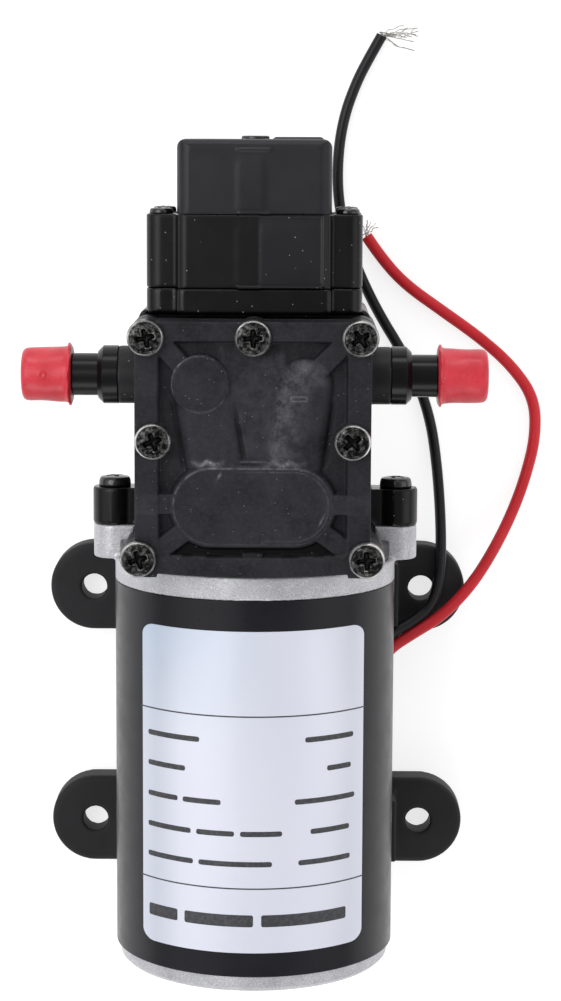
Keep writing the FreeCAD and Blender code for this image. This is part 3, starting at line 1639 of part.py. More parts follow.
def build_gasket():
    inset = "gasket_inset"
    sheet_body = prism(
        "gasket_sheet",
        "Z",
        rectangle(
            f"{inset} - head_half",
            f"head_half - {inset}",
            f"head_start + {inset}",
            f"head_end - {inset}",
        ),
        "plate_top",
        "cover_bottom",
        corner="head_corner",
    )
    low = "plate_top - 1"
    high = "cover_bottom + 1"
    gaps = screw_holes("gasket", "cover_screw_radius + screw_gap", low, high)
    for side, sign in SIDES:
        gaps += water_box(f"gasket_box_{side}", "box_wall", low, high, sign)
        gaps.append(
            cylinder(
                f"gasket_riser_{side}",
                "riser_radius",
                low,
                high,
                "Z",
                (f"{sign} * way_across", "port_along"),
            )
        )
    node(cut("valve_gasket", sheet_body, *gaps))


def channel(name, side, grow, low, high, rim=None):
    """A tapering water way from a riser down to the valve box."""
    mirror = "-" if side == "left" else ""
    outline = [
        (f"{mirror}({side}_foot_inner + {grow})", "stadium_along + way_foot"),
        (f"{mirror}({side}_foot_outer - {grow})", "stadium_along + way_foot"),
        (f"{mirror}({side}_top_outer - {grow})", "port_along"),
        (f"{mirror}({side}_top_inner + {grow})", "port_along"),
    ]
    return prism(name, "Z", outline, low, high, rim=rim)


def build_front_cover():
    low = "cover_bottom"
    blank = head_plate("cover", low, "cover_top")
    recess = prism(
        "cover_recess",
        "Z",
        rectangle(
            "rim_width - head_half",
            "head_half - rim_width",
            "head_start + rim_width",
            "head_end - rim_width",
        ),
        "recess_floor",
        "cover_top + 1",
        corner="recess_corner",
    )
    tray = cut("cover_tray", blank, recess)
    box = join(
        "cover_box",
        *water_box("cover_box_left", "0", "recess_floor - 1", "relief_top", -1),
        *water_box("cover_box_right", "0", "recess_floor - 1", "relief_top", 1),
        block(
            "cover_box_middle",
            ("-1", "1"),
            ("stadium_along - stadium_radius", "stadium_along + stadium_radius"),
            ("recess_floor - 1", "relief_top"),
        ),
    )
    way_top = "relief_top - way_drop"
    raised = [
        box,
        channel("left_way", "left", "0", "recess_floor - 1", way_top, rim="relief_edge"),
        channel("right_way", "right", "0", "recess_floor - 1", way_top, rim="relief_edge"),
        cylinder(
            "inlet_pad",
            "disc_radius",
            "recess_floor - 1",
            "relief_top",
            "Z",
            ("-way_across", "port_along"),
        ),
        cylinder(
            "outlet_pad",
            "disc_radius - outlet_pad_step",
            "recess_floor - 1",
            way_top,
            "Z",
            ("way_across", "port_along"),
        ),
        prism(
            "middle_wedge",
            "Z",
            [
                ("-wedge_low", "stadium_along + way_foot"),
                ("wedge_low", "stadium_along + way_foot"),
                ("wedge_high", "head_end - rim_width"),
                ("-wedge_high", "head_end - rim_width"),
            ],
            "recess_floor - 1",
            "recess_floor + wedge_height",
        ),
        block(
            "side_rib",
            ("1 - head_half", "head_half - 1"),
            ("stadium_along - rib_half", "stadium_along + rib_half"),
            ("recess_floor - 1", "relief_top - rib_drop"),
        ),
    ]
    raised += lobes("cover_inner", "recess_floor", "cover_top")
    for side, sign in SIDES:
        for end, across, along, to_across, to_along in (
            ("low", "low_screw_across", "low_screw_along", "stadium_half - 4", "stadium_along - 5"),
            ("top", "top_screw_across", "top_screw_along", "way_across + 3", "port_along + 2"),
        ):
            raised.append(diagonal_web(f"web_{end}_{side}", sign, across, along, to_across, to_along))
    solid = join("cover_solid", tray, *raised)
    gaps = screw_holes("cover", "cover_screw_radius + screw_gap", f"{low} - 1", "cover_top + 3")
    ceiling = "(relief_top - way_wall)"
    for side, sign in SIDES:
        gaps += water_box(f"box_space_{side}", "box_wall", f"{low} - 1", ceiling, sign)
        way_ceiling = f"{ceiling} - way_drop"
        gaps.append(channel(f"{side}_way_space", side, "way_side_wall", f"{low} - 1", way_ceiling))
        gaps.append(
            cylinder(
                f"cover_riser_{side}",
                "riser_radius",
                f"{low} - 1",
                f"{ceiling} - way_drop",
                "Z",
                (f"{sign} * way_across", "port_along"),
            )
        )
    node(cut("front_cover", solid, *gaps))


def diagonal_web(name, sign, across, along, to_across, to_along):
    """A flat web from a corner screw to the raised water ways."""
    half = "rib_half"
    if sign > 0:
        start, end = (across, along), (to_across, to_along)
    else:
        start, end = (f"-({across})", along), (f"-({to_across})", to_along)
    outline = [
        (f"{start[0]} - {half}", f"{start[1]}"),
        (f"{start[0]} + {half}", f"{start[1]}"),
        (f"{end[0]} + {half}", f"{end[1]}"),
        (f"{end[0]} - {half}", f"{end[1]}"),
    ]
    return prism(name, "Z", outline, "recess_floor - 1", "relief_top - web_drop")


def build_cover_screws():
    screws = [
        pan_screw(
            f"cover_screw_{where}",
            "Z",
            (x, y),
            "cover_top",
            "cover_head_radius",
            "cover_head_height",
            "cover_screw_radius",
            "cover_top - parting_height + cover_screw_depth",
        )
        for where, x, y in cover_screw_spots()
    ]
    node(group("cover_screws", *screws))


def build_flange_screws():
    screws = [
        pan_screw(
            f"flange_screw_{side}",
            "Y",
            (f"{sign} * ear_offset", "axis_height"),
            "side_boss_top",
            "side_head_radius",
            "side_head_height",
            "side_screw_radius",
            "side_boss_top - ear_start - 2",
        )
        for side, sign in SIDES
    ]
    node(group("flange_screws", *screws))


def build_fittings():
    spigot_start = "(port_boss_reach - spigot_length)"
    groove = f"({spigot_start} + groove_place)"
    groove_end = f"({groove} + 2 * oring_wire + groove_room)"
    groove_floor = "(spigot_radius + port_gap - 2 * oring_wire)"
    outline = [
        (spigot_start, "fitting_bore"),
        (spigot_start, "spigot_radius"),
        (groove, "spigot_radius"),
        (groove, groove_floor),
        (groove_end, groove_floor),
        (groove_end, "spigot_radius"),
        ("port_boss_reach", "spigot_radius"),
        ("port_boss_reach", "collar_radius"),
        ("collar_end - collar_edge", "collar_radius"),
        ("collar_end", "collar_radius - collar_edge"),
        ("collar_end", "barb_crest"),
        ("neck_end", "barb_crest"),
    ]
    for number in range(3):
        outline.append((f"neck_end + {number} * barb_pitch", "barb_root + root_step"))
        outline.append((f"neck_end + {number} * barb_pitch + barb_step", "barb_root"))
        outline.append((f"neck_end + {number} * barb_pitch + barb_step + barb_rise", "barb_crest"))
    outline.append(("barb_tip", "barb_root"))
    outline.append(("barb_tip", "fitting_bore"))
    for side, name, turn in (("left", "inlet", HALF_TURN), ("right", "outlet", Rotation())):
        fitting = turned(name + "_fitting", "X", outline)
        place(fitting, "0", "port_along", "port_height", turn)
        node(fitting)
        sign = -1 if side == "left" else 1
        ring = doc.addObject("Part::Torus", name + "_oring")
        bind(ring, Radius1="spigot_radius + port_gap - oring_wire", Radius2="oring_wire - oring_squeeze")
        place(
            ring,
            f"{sign} * ({groove} + groove_room / 2 + oring_wire)",
            "port_along",
            "port_height",
            TURNS["X"],
        )
        node(ring)


def build_caps():
    bore = "(barb_crest + cap_gap)"
    outer = f"({bore} + cap_wall)"
    outline = [
        ("cap_start", bore),
        ("cap_start", f"{outer} + cap_lip - cap_lip_edge"),
        ("cap_start + cap_lip_length / 4", f"{outer} + cap_lip"),
        ("cap_start + cap_lip_length / 2", f"{outer} + cap_lip - cap_lip_edge / 2"),
        ("cap_start + cap_lip_length", outer),
        ("cap_end - cap_end_edge", outer),
        ("cap_end", f"{outer} - cap_end_edge"),
        ("cap_end", "0"),
        ("cap_end - cap_end_wall", "0"),
        ("cap_end - cap_end_wall", bore),
    ]
    for name, turn in (("inlet_cap", HALF_TURN), ("outlet_cap", Rotation())):
        cap = turned(name, "X", outline)
        place(cap, "0", "port_along", "port_height", turn)
        node(cap)


def build_valves():
    disc_top = "(plate_top - valve_wall)"
    bulb_low = "(plate_top + valve_lift + stem_float)"
    inlet = [
        (f"{disc_top} - valve_thick", "0"),
        (f"{disc_top} - valve_thick", "valve_radius - disc_edge"),
        (f"{disc_top} - disc_rim", "valve_radius"),
        (disc_top, "valve_radius"),
        (disc_top, "valve_stem"),
        (bulb_low, "valve_stem"),
        (bulb_low, "valve_bulb"),
        (f"{bulb_low} + bulb_height", "valve_bulb"),
        (f"{bulb_low} + bulb_height + bulb_tip", "0"),
    ]
    node(turned("inlet_valve", "Z", inlet, ("-valve_across", "stadium_along")))
    bulb_top = f"({disc_top} - valve_lift - stem_float)"
    outlet = [
        (f"{bulb_top} - bulb_height - bulb_tip / 2", "0"),
        (f"{bulb_top} - bulb_height", "valve_bulb"),
        (bulb_top, "valve_bulb"),
        (bulb_top, "valve_stem"),
        ("plate_top", "valve_stem"),
        ("plate_top", "valve_radius"),
        ("plate_top + disc_rim", "valve_radius"),
        ("plate_top + valve_thick", "valve_radius - disc_edge"),
        ("plate_top + valve_thick", "0"),
    ]
    node(turned("outlet_valve", "Z", outlet, ("valve_across", "stadium_along")))


# Crank, rod and diaphragm. The crank rests at its lowest point.

JOURNAL = ("0", "journal_height")


def build_eccentric():
    shoulder = "(hub_start + hub_length)"
    journal_start = "(rod_middle - rod_bearing_width / 2)"
    journal_end = f"({journal_start} + rod_bearing_width)"
    hub = cylinder("eccentric_hub", "hub_outer", "hub_start", shoulder, "Y", MOTOR)
    collar = cylinder(
        "eccentric_collar", "journal_radius + journal_shoulder", shoulder, journal_start, "Y", JOURNAL
    )
    overhang = f"{journal_end} + journal_overhang"
    journal = cylinder(
        "eccentric_journal", "journal_radius", journal_start, overhang, "Y", JOURNAL
    )
    bore = cylinder(
        "eccentric_bore", "shaft_end_radius", "hub_start - 1", f"{journal_end} + 2", "Y", MOTOR
    )
    grub_place = "(hub_start + hub_length / 2)"
    grub_hole = cylinder(
        "grub_hole", "grub_radius", "axis_height", "axis_height + hub_outer + 1", "Z", ("0", grub_place)
    )
    node(cut("eccentric", join("eccentric_blank", hub, collar, journal), bore, grub_hole))
    node(
        cut(
            "grub_screw",
            cylinder(
                "grub_blank",
                "grub_radius - press_fit",
                "axis_height + shaft_end_radius + running_fit",
                "axis_height + hub_outer - grub_inset",
                "Z",
                ("0", grub_place),
            ),
            cylinder(
                "grub_socket",
                "socket_radius",
                "axis_height + hub_outer - grub_inset - socket_depth",
                "axis_height + hub_outer + 1",
                "Z",
                ("0", grub_place),
            ),
        )
    )
    bearing(
        "rod_bearing",
        "journal_radius + running_fit",
        "rod_bearing_radius",
        journal_start,
        "rod_bearing_width",
        JOURNAL,
    )


def build_rod():
    start = "(rod_middle - rod_width / 2)"
    end = "(rod_middle + rod_width / 2)"
    ring = cylinder("rod_ring", "rod_ring_radius", start, end, "Y", JOURNAL)
    neck = block(
        "rod_neck",
        ("-rod_neck_half", "rod_neck_half"),
        (start, end),
        ("axis_height", "rod_plate_top - plate_thick / 2"),
    )
    plate = cylinder(
        "rod_plate",
        "plate_radius",
        "rod_plate_top - plate_thick",
        "rod_plate_top",
        "Z",
        ("0", "rod_middle"),
    )
    bore = cylinder(
        "rod_bore", "rod_bearing_radius + press_fit", f"{start} - 1", f"{end} + 1", "Y", JOURNAL
    )
    screw_bottom = "(journal_height + rod_bearing_radius + rod_screw_wall)"
    pilot = cylinder(
        "rod_pilot", "clamp_screw_radius", screw_bottom, "rod_plate_top + 1", "Z", ("0", "rod_middle")
    )
    node(cut("connecting_rod", join("rod_blank", ring, neck, plate), bore, pilot))
    clamp_low = "(rod_plate_top + membrane_thick)"
    clamp_high = f"({clamp_low} + plate_thick)"
    node(
        turned(
            "diaphragm_clamp",
            "Z",
            [
                (clamp_low, "clamp_screw_radius + clamp_screw_gap"),
                (clamp_low, "plate_radius"),
                (f"{clamp_high} - plate_edge", "plate_radius"),
                (clamp_high, "plate_radius - plate_edge"),
                (clamp_high, "clamp_screw_radius + clamp_head_reach + clamp_screw_gap"),
                (f"{clamp_high} - clamp_head_depth", "clamp_screw_radius + clamp_screw_gap"),
            ],
            ("0", "rod_middle"),
        )
    )
    screw = turned(
        "clamp_screw_blank",
        "Z",
        [
            (f"{screw_bottom} + clamp_screw_gap", "0"),
            (f"{screw_bottom} + clamp_screw_gap", "clamp_screw_radius - running_fit"),
            (f"{clamp_high} - clamp_head_depth", "clamp_screw_radius - running_fit"),
            (clamp_high, "clamp_screw_radius + clamp_head_reach - clamp_screw_gap"),
            (clamp_high, "0"),
        ],
        ("0", "rod_middle"),
    )
    recess = cross_recess(
        "clamp_screw",
        clamp_high,
        "0.7 * clamp_head_depth",
        "clamp_screw_radius + clamp_screw_gap",
        "Z",
        ("0", "rod_middle"),
    )
    node(cut("clamp_screw", screw, *recess))


def build_diaphragm():
    """A moulded rubber disc: clamped middle, one rolled fold and an outer bead."""
    low = "rod_plate_top"
    high = f"({low} + membrane_thick)"
    bead_low = "(parting_height - bead_height)"
    bead_inner = "(bead_radius - bead_width)"
    bend_across = f"(plate_radius + {bead_inner}) / 2"
    outline = [
        (low, "clamp_screw_radius + hole_gap"),
        (low, "plate_radius + fold_step"),
        (f"({low} + {bead_low}) / 2 - fold_depth", bend_across),
        (f"{bead_low} + fold_rise", bead_inner),
        (f"{bead_low} + bead_gap", bead_inner),
        (f"{bead_low} + bead_gap", "bead_radius"),
        ("parting_height - bead_gap", "bead_radius"),
        ("parting_height - bead_gap", f"{bead_inner} + running_gap"),
        (f"{bead_low} + fold_rise + membrane_thick", f"{bead_inner} - running_gap"),
        (f"({high} + {bead_low}) / 2 + fold_depth / 5", f"{bend_across} + fold_step / 3"),
        (high, "plate_radius + 1.3 * fold_step"),
        (high, "clamp_screw_radius + hole_gap"),
    ]
    node(turned("diaphragm", "Z", outline, ("0", "rod_middle")))


# Pressure switch

def build_switch():
    box_outline = rectangle(
        "-switch_half_across",
        "switch_half_across",
        "switch_height - switch_half_high",
        "switch_height + switch_half_high",
    )
    start = "switch_base_end"
    middle = "switch_body_end"
    end = "switch_cap_end"
    body = prism("switch_body_box", "Y", box_outline, start, middle, corner="switch_edge")
    rib = block(
        "switch_body_rib",
        ("-switch_rib_half", "panel_near"),
        (start, middle),
        ("switch_height", "switch_height + switch_half_high + switch_rib_height"),
    )
    panel = block(
        "switch_body_panel",
        ("panel_near", "switch_half_across - panel_side"),
        (f"{start} + panel_end", f"{middle} - panel_end"),
        ("switch_height", "switch_height + switch_half_high + panel_height"),
    )
    gaps = [
        cylinder("switch_body_bore", "switch_bore", f"{start} - 1", f"{middle} + 1", "Y", SWITCH),
        block(
            "arm_slot",
            ("arm_inner - arm_gap", "arm_outer + arm_gap"),
            (f"{start} - 1", f"{middle} + 1"),
            ("switch_height - arm_half - arm_gap", "switch_height + arm_half + arm_gap"),
        ),
    ]
    for where, sign, across, height in switch_screw_spots():
        gaps.append(
            cylinder(
                f"switch_hole_{where}",
                "switch_screw_radius + screw_gap",
                f"{start} - 1",
                f"{middle} + 1",
                "Y",
                (across, height),
            )
        )
    blank = join("switch_body_blank", body, rib, panel, *switch_bosses("switch", start, middle))
    node(cut("switch_body", blank, *gaps))

    cap_box = prism(
        "switch_cap_box", "Y", box_outline, middle, end, corner="switch_edge", rim="cap_edge"
    )
    cap_rib = block(
        "switch_cap_rib",
        ("-switch_rib_half", "switch_rib_half"),
        (middle, f"{end} - cap_edge"),
        ("switch_height", "switch_height + switch_half_high + cap_rib_height"),
    )
    pad = block(
        "switch_cap_pad",
        ("pad_near", "switch_half_across - pad_side"),
        (f"{end} - 1", f"{end} + pad_height"),
        ("switch_height - pad_half", "switch_height + pad_half"),
    )
    inside = prism(
        "switch_cap_inside",
        "Y",
        rectangle(
            "switch_wall - switch_half_across",
            "switch_half_across - switch_wall",
            "switch_height - switch_half_high + switch_wall",
            "switch_height + switch_half_high - switch_wall",
        ),
        f"{middle} - 1",
        f"{end} - switch_wall",
        corner="cap_edge",
    )
    hole = cylinder("adjust_hole", "adjust_shank + adjust_gap", middle, f"{end} + 1", "Y", SWITCH)
    node(cut("switch_cap", join("switch_cap_blank", cap_box, cap_rib, pad), inside, hole))

    screws = [
        pan_screw(
            f"switch_screw_{where}",
            "Y",
            (across, height),
            middle,
            "switch_head_radius",
            "switch_head_height",
            "switch_screw_radius",
            f"{middle} - {start} + switch_screw_depth",
        )
        for where, sign, across, height in switch_screw_spots()
    ]
    node(group("switch_screws", *screws))


def build_switch_works():
    node(
        cylinder(
            "switch_diaphragm",
            "sensor_radius",
            "switch_base_end - sensor_thick + running_fit",
            "switch_base_end - running_fit",
            "Y",
            SWITCH,
        )
    )
    disc_start = "(switch_base_end + seat_gap)"
    disc_end = f"({disc_start} + plunger_thick)"
    arm_end = "(switch_body_end + arm_overhang)"
    disc = turned(
        "plunger_disc",
        "Y",
        [
            (disc_start, "0"),
            (disc_start, "plunger_radius"),
            (disc_end, "plunger_radius"),
            (disc_end, "coil_radius - pin_step"),
            (f"{disc_end} + pin_height", "coil_radius - pin_step - pin_taper"),
            (f"{disc_end} + pin_height", "0"),
        ],
        SWITCH,
    )
    arm = block(
        "plunger_arm",
        ("arm_inner", "arm_outer"),
        (disc_start, arm_end),
        ("switch_height - arm_half", "switch_height + arm_half"),
    )
    node(join("switch_plunger", disc, arm))

    button = f"({arm_end} + plunger_travel + button_gap)"
    case = block(
        "microswitch_case",
        ("arm_inner - case_inset", "switch_half_across - switch_wall - button_gap"),
        (f"{button} + case_inset", "switch_cap_end - switch_wall"),
        ("switch_height - case_half", "switch_height + case_half"),
    )
    knob = block(
        "microswitch_button",
        ("arm_inner + case_inset", "arm_outer - case_inset / 2"),
        (button, f"{button} + case_inset + 0.2"),
        ("switch_height - case_half / 5", "switch_height + case_half / 5"),
    )
    node(join("microswitch", case, knob))

    cup_start = "(switch_body_end - cup_inset)"
    shank_end = f"({cup_start} + cup_floor)"
    node(
        turned(
            "spring_cup",
            "Y",
            [
                (cup_start, "0"),
                (cup_start, "coil_radius + cup_step"),
                (f"{cup_start} + cup_rim", "coil_radius + cup_step"),
                (f"{cup_start} + cup_height", "adjust_shank + cup_rim"),
                (f"{cup_start} + cup_height", "adjust_shank + adjust_gap"),
                (shank_end, "adjust_shank + adjust_gap"),
                (shank_end, "0"),
            ],
            SWITCH,
        )
    )
    head_top = "(switch_cap_end + adjust_height)"
    screw = turned(
        "adjust_blank",
        "Y",
        [
            (f"{shank_end} + seat_gap", "0"),
            (f"{shank_end} + seat_gap", "adjust_shank"),
            ("switch_cap_end + running_fit", "adjust_shank"),
            ("switch_cap_end + running_fit", "adjust_radius"),
            (f"{head_top} - adjust_edge", "adjust_radius"),
            (head_top, "adjust_radius - adjust_edge"),
            (head_top, "0"),
        ],
        SWITCH,
    )
    recess = cross_recess("adjust", head_top, "2 * adjust_edge", "adjust_recess", "Y", SWITCH)
    node(cut("adjust_screw", screw, *recess))

    wire = size["coil_wire"]
    ends = 3 * size["seat_gap"] + size["cup_inset"] + size["plunger_thick"]
    length = size["switch_body_length"] - ends - 2 * wire
    at = ("0", "switch_base_end + plunger_thick + 2 * seat_gap + coil_wire", "switch_height")
    turn = Rotation(Vector(0, 0, 1), Vector(0, 1, 0))
    node(coil("switch_spring", size["coil_radius"], wire, length, 5, at, turn))


# Leads

def tube(name, points, radius, quiet=False):
    """A round lead along straight runs joined by tangent arcs."""
    spots = [Vector(*p) for p in points]
    edges = []
    here = spots[0]
    radii = []
    for before, at, after in zip(spots, spots[1:], spots[2:]):
        into = at - before
        out = after - at
        step = 0.45 * min(into.Length, out.Length)
        half_turn = into.getAngle(out) / 2
        into.normalize()
        out.normalize()
        bend = step / math.tan(half_turn)
        radii.append(bend)
        inward = (out - into).normalize()
        start = at - into * step
        end = at + out * step
        crown = at + inward * (bend / math.cos(half_turn) - bend)
        edges.append(Part.LineSegment(here, start).toShape())
        edges.append(Part.Arc(start, crown, end).toShape())
        here = end
    edges.append(Part.LineSegment(here, spots[-1]).toShape())
    path = Part.Wire(edges)
    section = Part.Wire([Part.makeCircle(radius, spots[0], spots[1] - spots[0])])
    item = doc.addObject("Part::Feature", name)
    item.Shape = path.makePipeShell([section], True, False)
    expected = math.pi * radius * radius * path.Length
    if not quiet:
        rounded = ", ".join(f"{bend:.0f}" for bend in radii)
        share = item.Shape.Volume / expected
        print(f"{name}: length {path.Length:.1f} mm, volume ratio {share:.4f}, radii {rounded}")
    return item


def lead_start(offset):
    """The first two points of a lead, straight out of the grommet."""
    angle = math.radians(size["lead_angle"])
    out = Vector(math.cos(angle), 0, -math.sin(angle))
    centre = Vector(0, size["lead_place"] + offset, size["axis_height"])
    return [tuple(centre + out * (size["grommet_reach"] + step)) for step in (0, 3.9)]


def strands(name, route, ends, radius):
    """Bare strands that start in the lead's end face and fan out."""
    tip = Vector(*route[-1])
    forward = (tip - Vector(*route[-2])).normalize()
    side = Vector(-forward.y, forward.x, 0).normalize()
    up = forward.cross(side)
    wires = []
    for number, shift in enumerate(ends):
        angle = 2 * math.pi * number / len(ends)
        foot = tip + (side * math.cos(angle) + up * math.sin(angle)) * (0.6 * radius)
        goal = tip + Vector(*shift)
        middle = foot + forward * 0.9
        points = [tuple(foot), tuple(middle), tuple(goal)]
        wires.append(tube(f"{name}{number}", points, size["strand_radius"], quiet=True))
    node(group(name, *wires))


def build_leads():
    half = size["lead_spacing"] / 2
    node(tube("red_lead", lead_start(-half) + RED_ROUTE, size["red_radius"]))
    node(tube("black_lead", lead_start(half) + BLACK_ROUTE, size["black_radius"]))
    strands("red_strands", RED_ROUTE, RED_STRANDS, size["red_radius"])
    strands("black_strands", BLACK_ROUTE, BLACK_STRANDS, size["black_radius"])


def check_and_write():
    """Stops on a failed object or shape, then writes one file for each piece."""
    doc.recompute()
    for item in doc.Objects:
        if "Invalid" in item.State or "Error" in item.State:
            raise RuntimeError(f"{item.Name} failed: {item.State}")
    for item in nodes:
        if item.Shape.isNull() or not item.Shape.isValid():
            raise RuntimeError(f"{item.Label} has no valid shape")
    os.makedirs("parts", exist_ok=True)
    for item in nodes:
        item.Shape.exportStep(f"parts/{item.Label}.step")
    print(f"{len(nodes)} pieces written")


build_can()
build_front_end_cover()
build_rear_end_cap()
build_through_bolts()
build_magnets()
build_bearings()
build_shaft()
build_armature()
build_commutator()
build_brush_gear()
build_brush_springs()
build_grommet()
build_bracket()
build_bracket_screws()
build_feet()
build_pump_housing()
build_valve_plate()
build_gasket()
build_front_cover()
build_cover_screws()
build_flange_screws()
build_fittings()
build_caps()
build_valves()
build_eccentric()
build_rod()
build_diaphragm()
build_switch()
build_switch_works()
build_leads()
check_and_write()
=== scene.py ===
# The looks of a 12 volt diaphragm water pump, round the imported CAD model.
# Metres, with the origin between the four foot holes on the floor, +Y from the
# motor to the pressure switch, +X towards the outlet and +Z up.

import json
import math

import bmesh
import bpy
import numpy as np
from mathutils import Matrix, Vector


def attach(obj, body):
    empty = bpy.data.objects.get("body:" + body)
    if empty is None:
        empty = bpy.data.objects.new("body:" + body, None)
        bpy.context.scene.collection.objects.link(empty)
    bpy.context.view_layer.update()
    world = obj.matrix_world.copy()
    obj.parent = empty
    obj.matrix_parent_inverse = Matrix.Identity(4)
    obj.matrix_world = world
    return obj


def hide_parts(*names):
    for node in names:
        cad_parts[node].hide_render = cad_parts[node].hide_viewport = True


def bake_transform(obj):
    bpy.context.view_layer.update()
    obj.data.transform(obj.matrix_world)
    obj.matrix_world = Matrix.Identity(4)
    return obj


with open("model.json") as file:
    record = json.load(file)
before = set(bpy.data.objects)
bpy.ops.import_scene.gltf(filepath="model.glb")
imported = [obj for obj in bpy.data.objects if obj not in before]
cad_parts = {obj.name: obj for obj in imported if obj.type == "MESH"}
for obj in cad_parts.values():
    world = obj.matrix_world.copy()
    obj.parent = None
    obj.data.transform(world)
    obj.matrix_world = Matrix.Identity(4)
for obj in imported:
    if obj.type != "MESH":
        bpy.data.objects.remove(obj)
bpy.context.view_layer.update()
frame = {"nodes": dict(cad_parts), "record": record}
nodes = frame["nodes"]
MM = 0.001

# Places shared with the CAD model, in millimetres
SHAFT_HIGH = 35.0
BOSS_ACROSS = 27.1
PORT_ALONG, PORT_HIGH = 71.6, 43.0
CAP_START = 34.4
SWITCH_TOP = 56.0


# Node graphs

class Graph:
    """The node graph of a new material or of the world, with short names for the nodes used here."""

    def __init__(self, name, world=None):
        self.owner = world or bpy.data.materials.new(name)
        self.owner.use_nodes = True
        self.tree = self.owner.node_tree
        self.shader = self.tree.nodes["Background" if world else "Principled BSDF"]
        self.place = self.new("ShaderNodeTexCoord").outputs["Generated" if world else "Object"]

    def fill(self, made, inputs):
        """Sets each input by its name or number, or links it where the value is a socket."""
        for key, value in inputs.items():
            if isinstance(value, bpy.types.NodeSocket):
                self.tree.links.new(value, made.inputs[key])
            elif value is not None:
                made.inputs[key].default_value = value
        return made

    def new(self, kind, inputs=None, **settings):
        made = self.tree.nodes.new(kind)
        for key, value in settings.items():
            setattr(made, key, value)
        return self.fill(made, inputs or {})

    def noise(self, scale, detail=3.0, rough=0.55, place=None, distortion=0.0):
        inputs = {"Scale": scale, "Detail": detail, "Roughness": rough, "Distortion": distortion}
        inputs["Vector"] = place or self.place
        return self.new("ShaderNodeTexNoise", inputs).outputs["Fac"]

    def stretch(self, x, y, z):
        inputs = {"Vector": self.place, "Scale": (x, y, z)}
        return self.new("ShaderNodeMapping", inputs).outputs["Vector"]

    def span(self, value, low, high, to_low=0.0, to_high=1.0, kind="LINEAR"):
        inputs = {"Value": value, "From Min": low, "From Max": high}
        inputs.update({"To Min": to_low, "To Max": to_high})
        return self.new("ShaderNodeMapRange", inputs, interpolation_type=kind).outputs["Result"]

    def uneven(self, pattern, low, high):
        """A roughness that follows a noise between two values."""
        return self.span(pattern, 0.3, 0.7, low, high)

    def kept(self, name):
        """The number that a mesh keeps for each point under that name."""
        return self.new("ShaderNodeAttribute", attribute_name=name).outputs["Fac"]

    def op(self, operation, first, second):
        return self.new("ShaderNodeMath", {0: first, 1: second}, operation=operation).outputs[0]

    def mix(self, share, first, second):
        inputs = {0: share}
        for key, value in ((6, first), (7, second)):
            inputs[key] = value if isinstance(value, bpy.types.NodeSocket) else (*value, 1.0)
        return self.new("ShaderNodeMix", inputs, data_type="RGBA").outputs[2]

    def flecks(self, scale, share):
        """Small scattered dots: the given share of the cells has one."""
        dust = self.new("ShaderNodeTexVoronoi", {"Vector": self.place, "Scale": scale})
        near = self.span(dust.outputs["Distance"], 0.06, 0.10, 1.0, 0.0)
        chosen = self.new("ShaderNodeSeparateColor", {0: dust.outputs["Color"]}).outputs[0]
        return self.op("MULTIPLY", near, self.op("GREATER_THAN", chosen, 1.0 - share))

    def axis(self, letter):
        return self.new("ShaderNodeSeparateXYZ", {0: self.place}).outputs[letter]

    def bump(self, height, strength, distance, below=None):
        inputs = {"Height": height, "Strength": strength, "Distance": distance, "Normal": below}
        return self.new("ShaderNodeBump", inputs).outputs["Normal"]

    def rounded(self, radius):
        return self.new("ShaderNodeBevel", {"Radius": radius}, samples=4).outputs["Normal"]

    def finish(self, color, roughness, normal=None, **more):
        self.fill(self.shader, {"Base Color": color, "Roughness": roughness, "Normal": normal})
        self.fill(self.shader, {key.replace("_", " "): value for key, value in more.items()})
        return self.owner


def moulded(name, dark, light, rough, grain=2600.0, depth=0.00003, specks=0.0, **fixed):
    """Moulded plastic or rubber: cloudy tone, fine grain and a few dust specks."""
    fixed.setdefault("Specular_IOR_Level", 0.3)
    g = Graph(name)
    cloud = g.span(g.noise(95.0, 4.0), 0.35, 0.68)
    color = g.mix(cloud, dark, light)
    fine = g.noise(grain, 2.0)
    if specks:
        color = g.mix(g.flecks(420.0, specks), color, (0.32, 0.32, 0.34))
    streak = g.noise(60.0, 3.0, place=g.stretch(1.0, 0.35, 1.0))
    roughness = g.uneven(streak, rough - 0.06, rough + 0.08)
    normal = g.bump(fine, 0.35, depth, g.rounded(0.0002))
    return g.finish(color, roughness, normal, **fixed)


def metal(name, dark, light, rough, grain=1500.0, depth=0.00002, metallic=1.0, brushed=None):
    """Plated or cast metal with a mottled tone and fine relief."""
    g = Graph(name)
    color = g.mix(g.span(g.noise(260.0, 4.0), 0.35, 0.66), dark, light)
    place = g.stretch(*brushed) if brushed else None
    relief = g.noise(grain, 3.0, place=place)
    roughness = g.uneven(g.noise(500.0, 3.0, place=place), rough - 0.07, rough + 0.09)
    normal = g.bump(relief, 0.4, depth, g.rounded(0.00012))
    return g.finish(color, roughness, normal, Metallic=metallic)


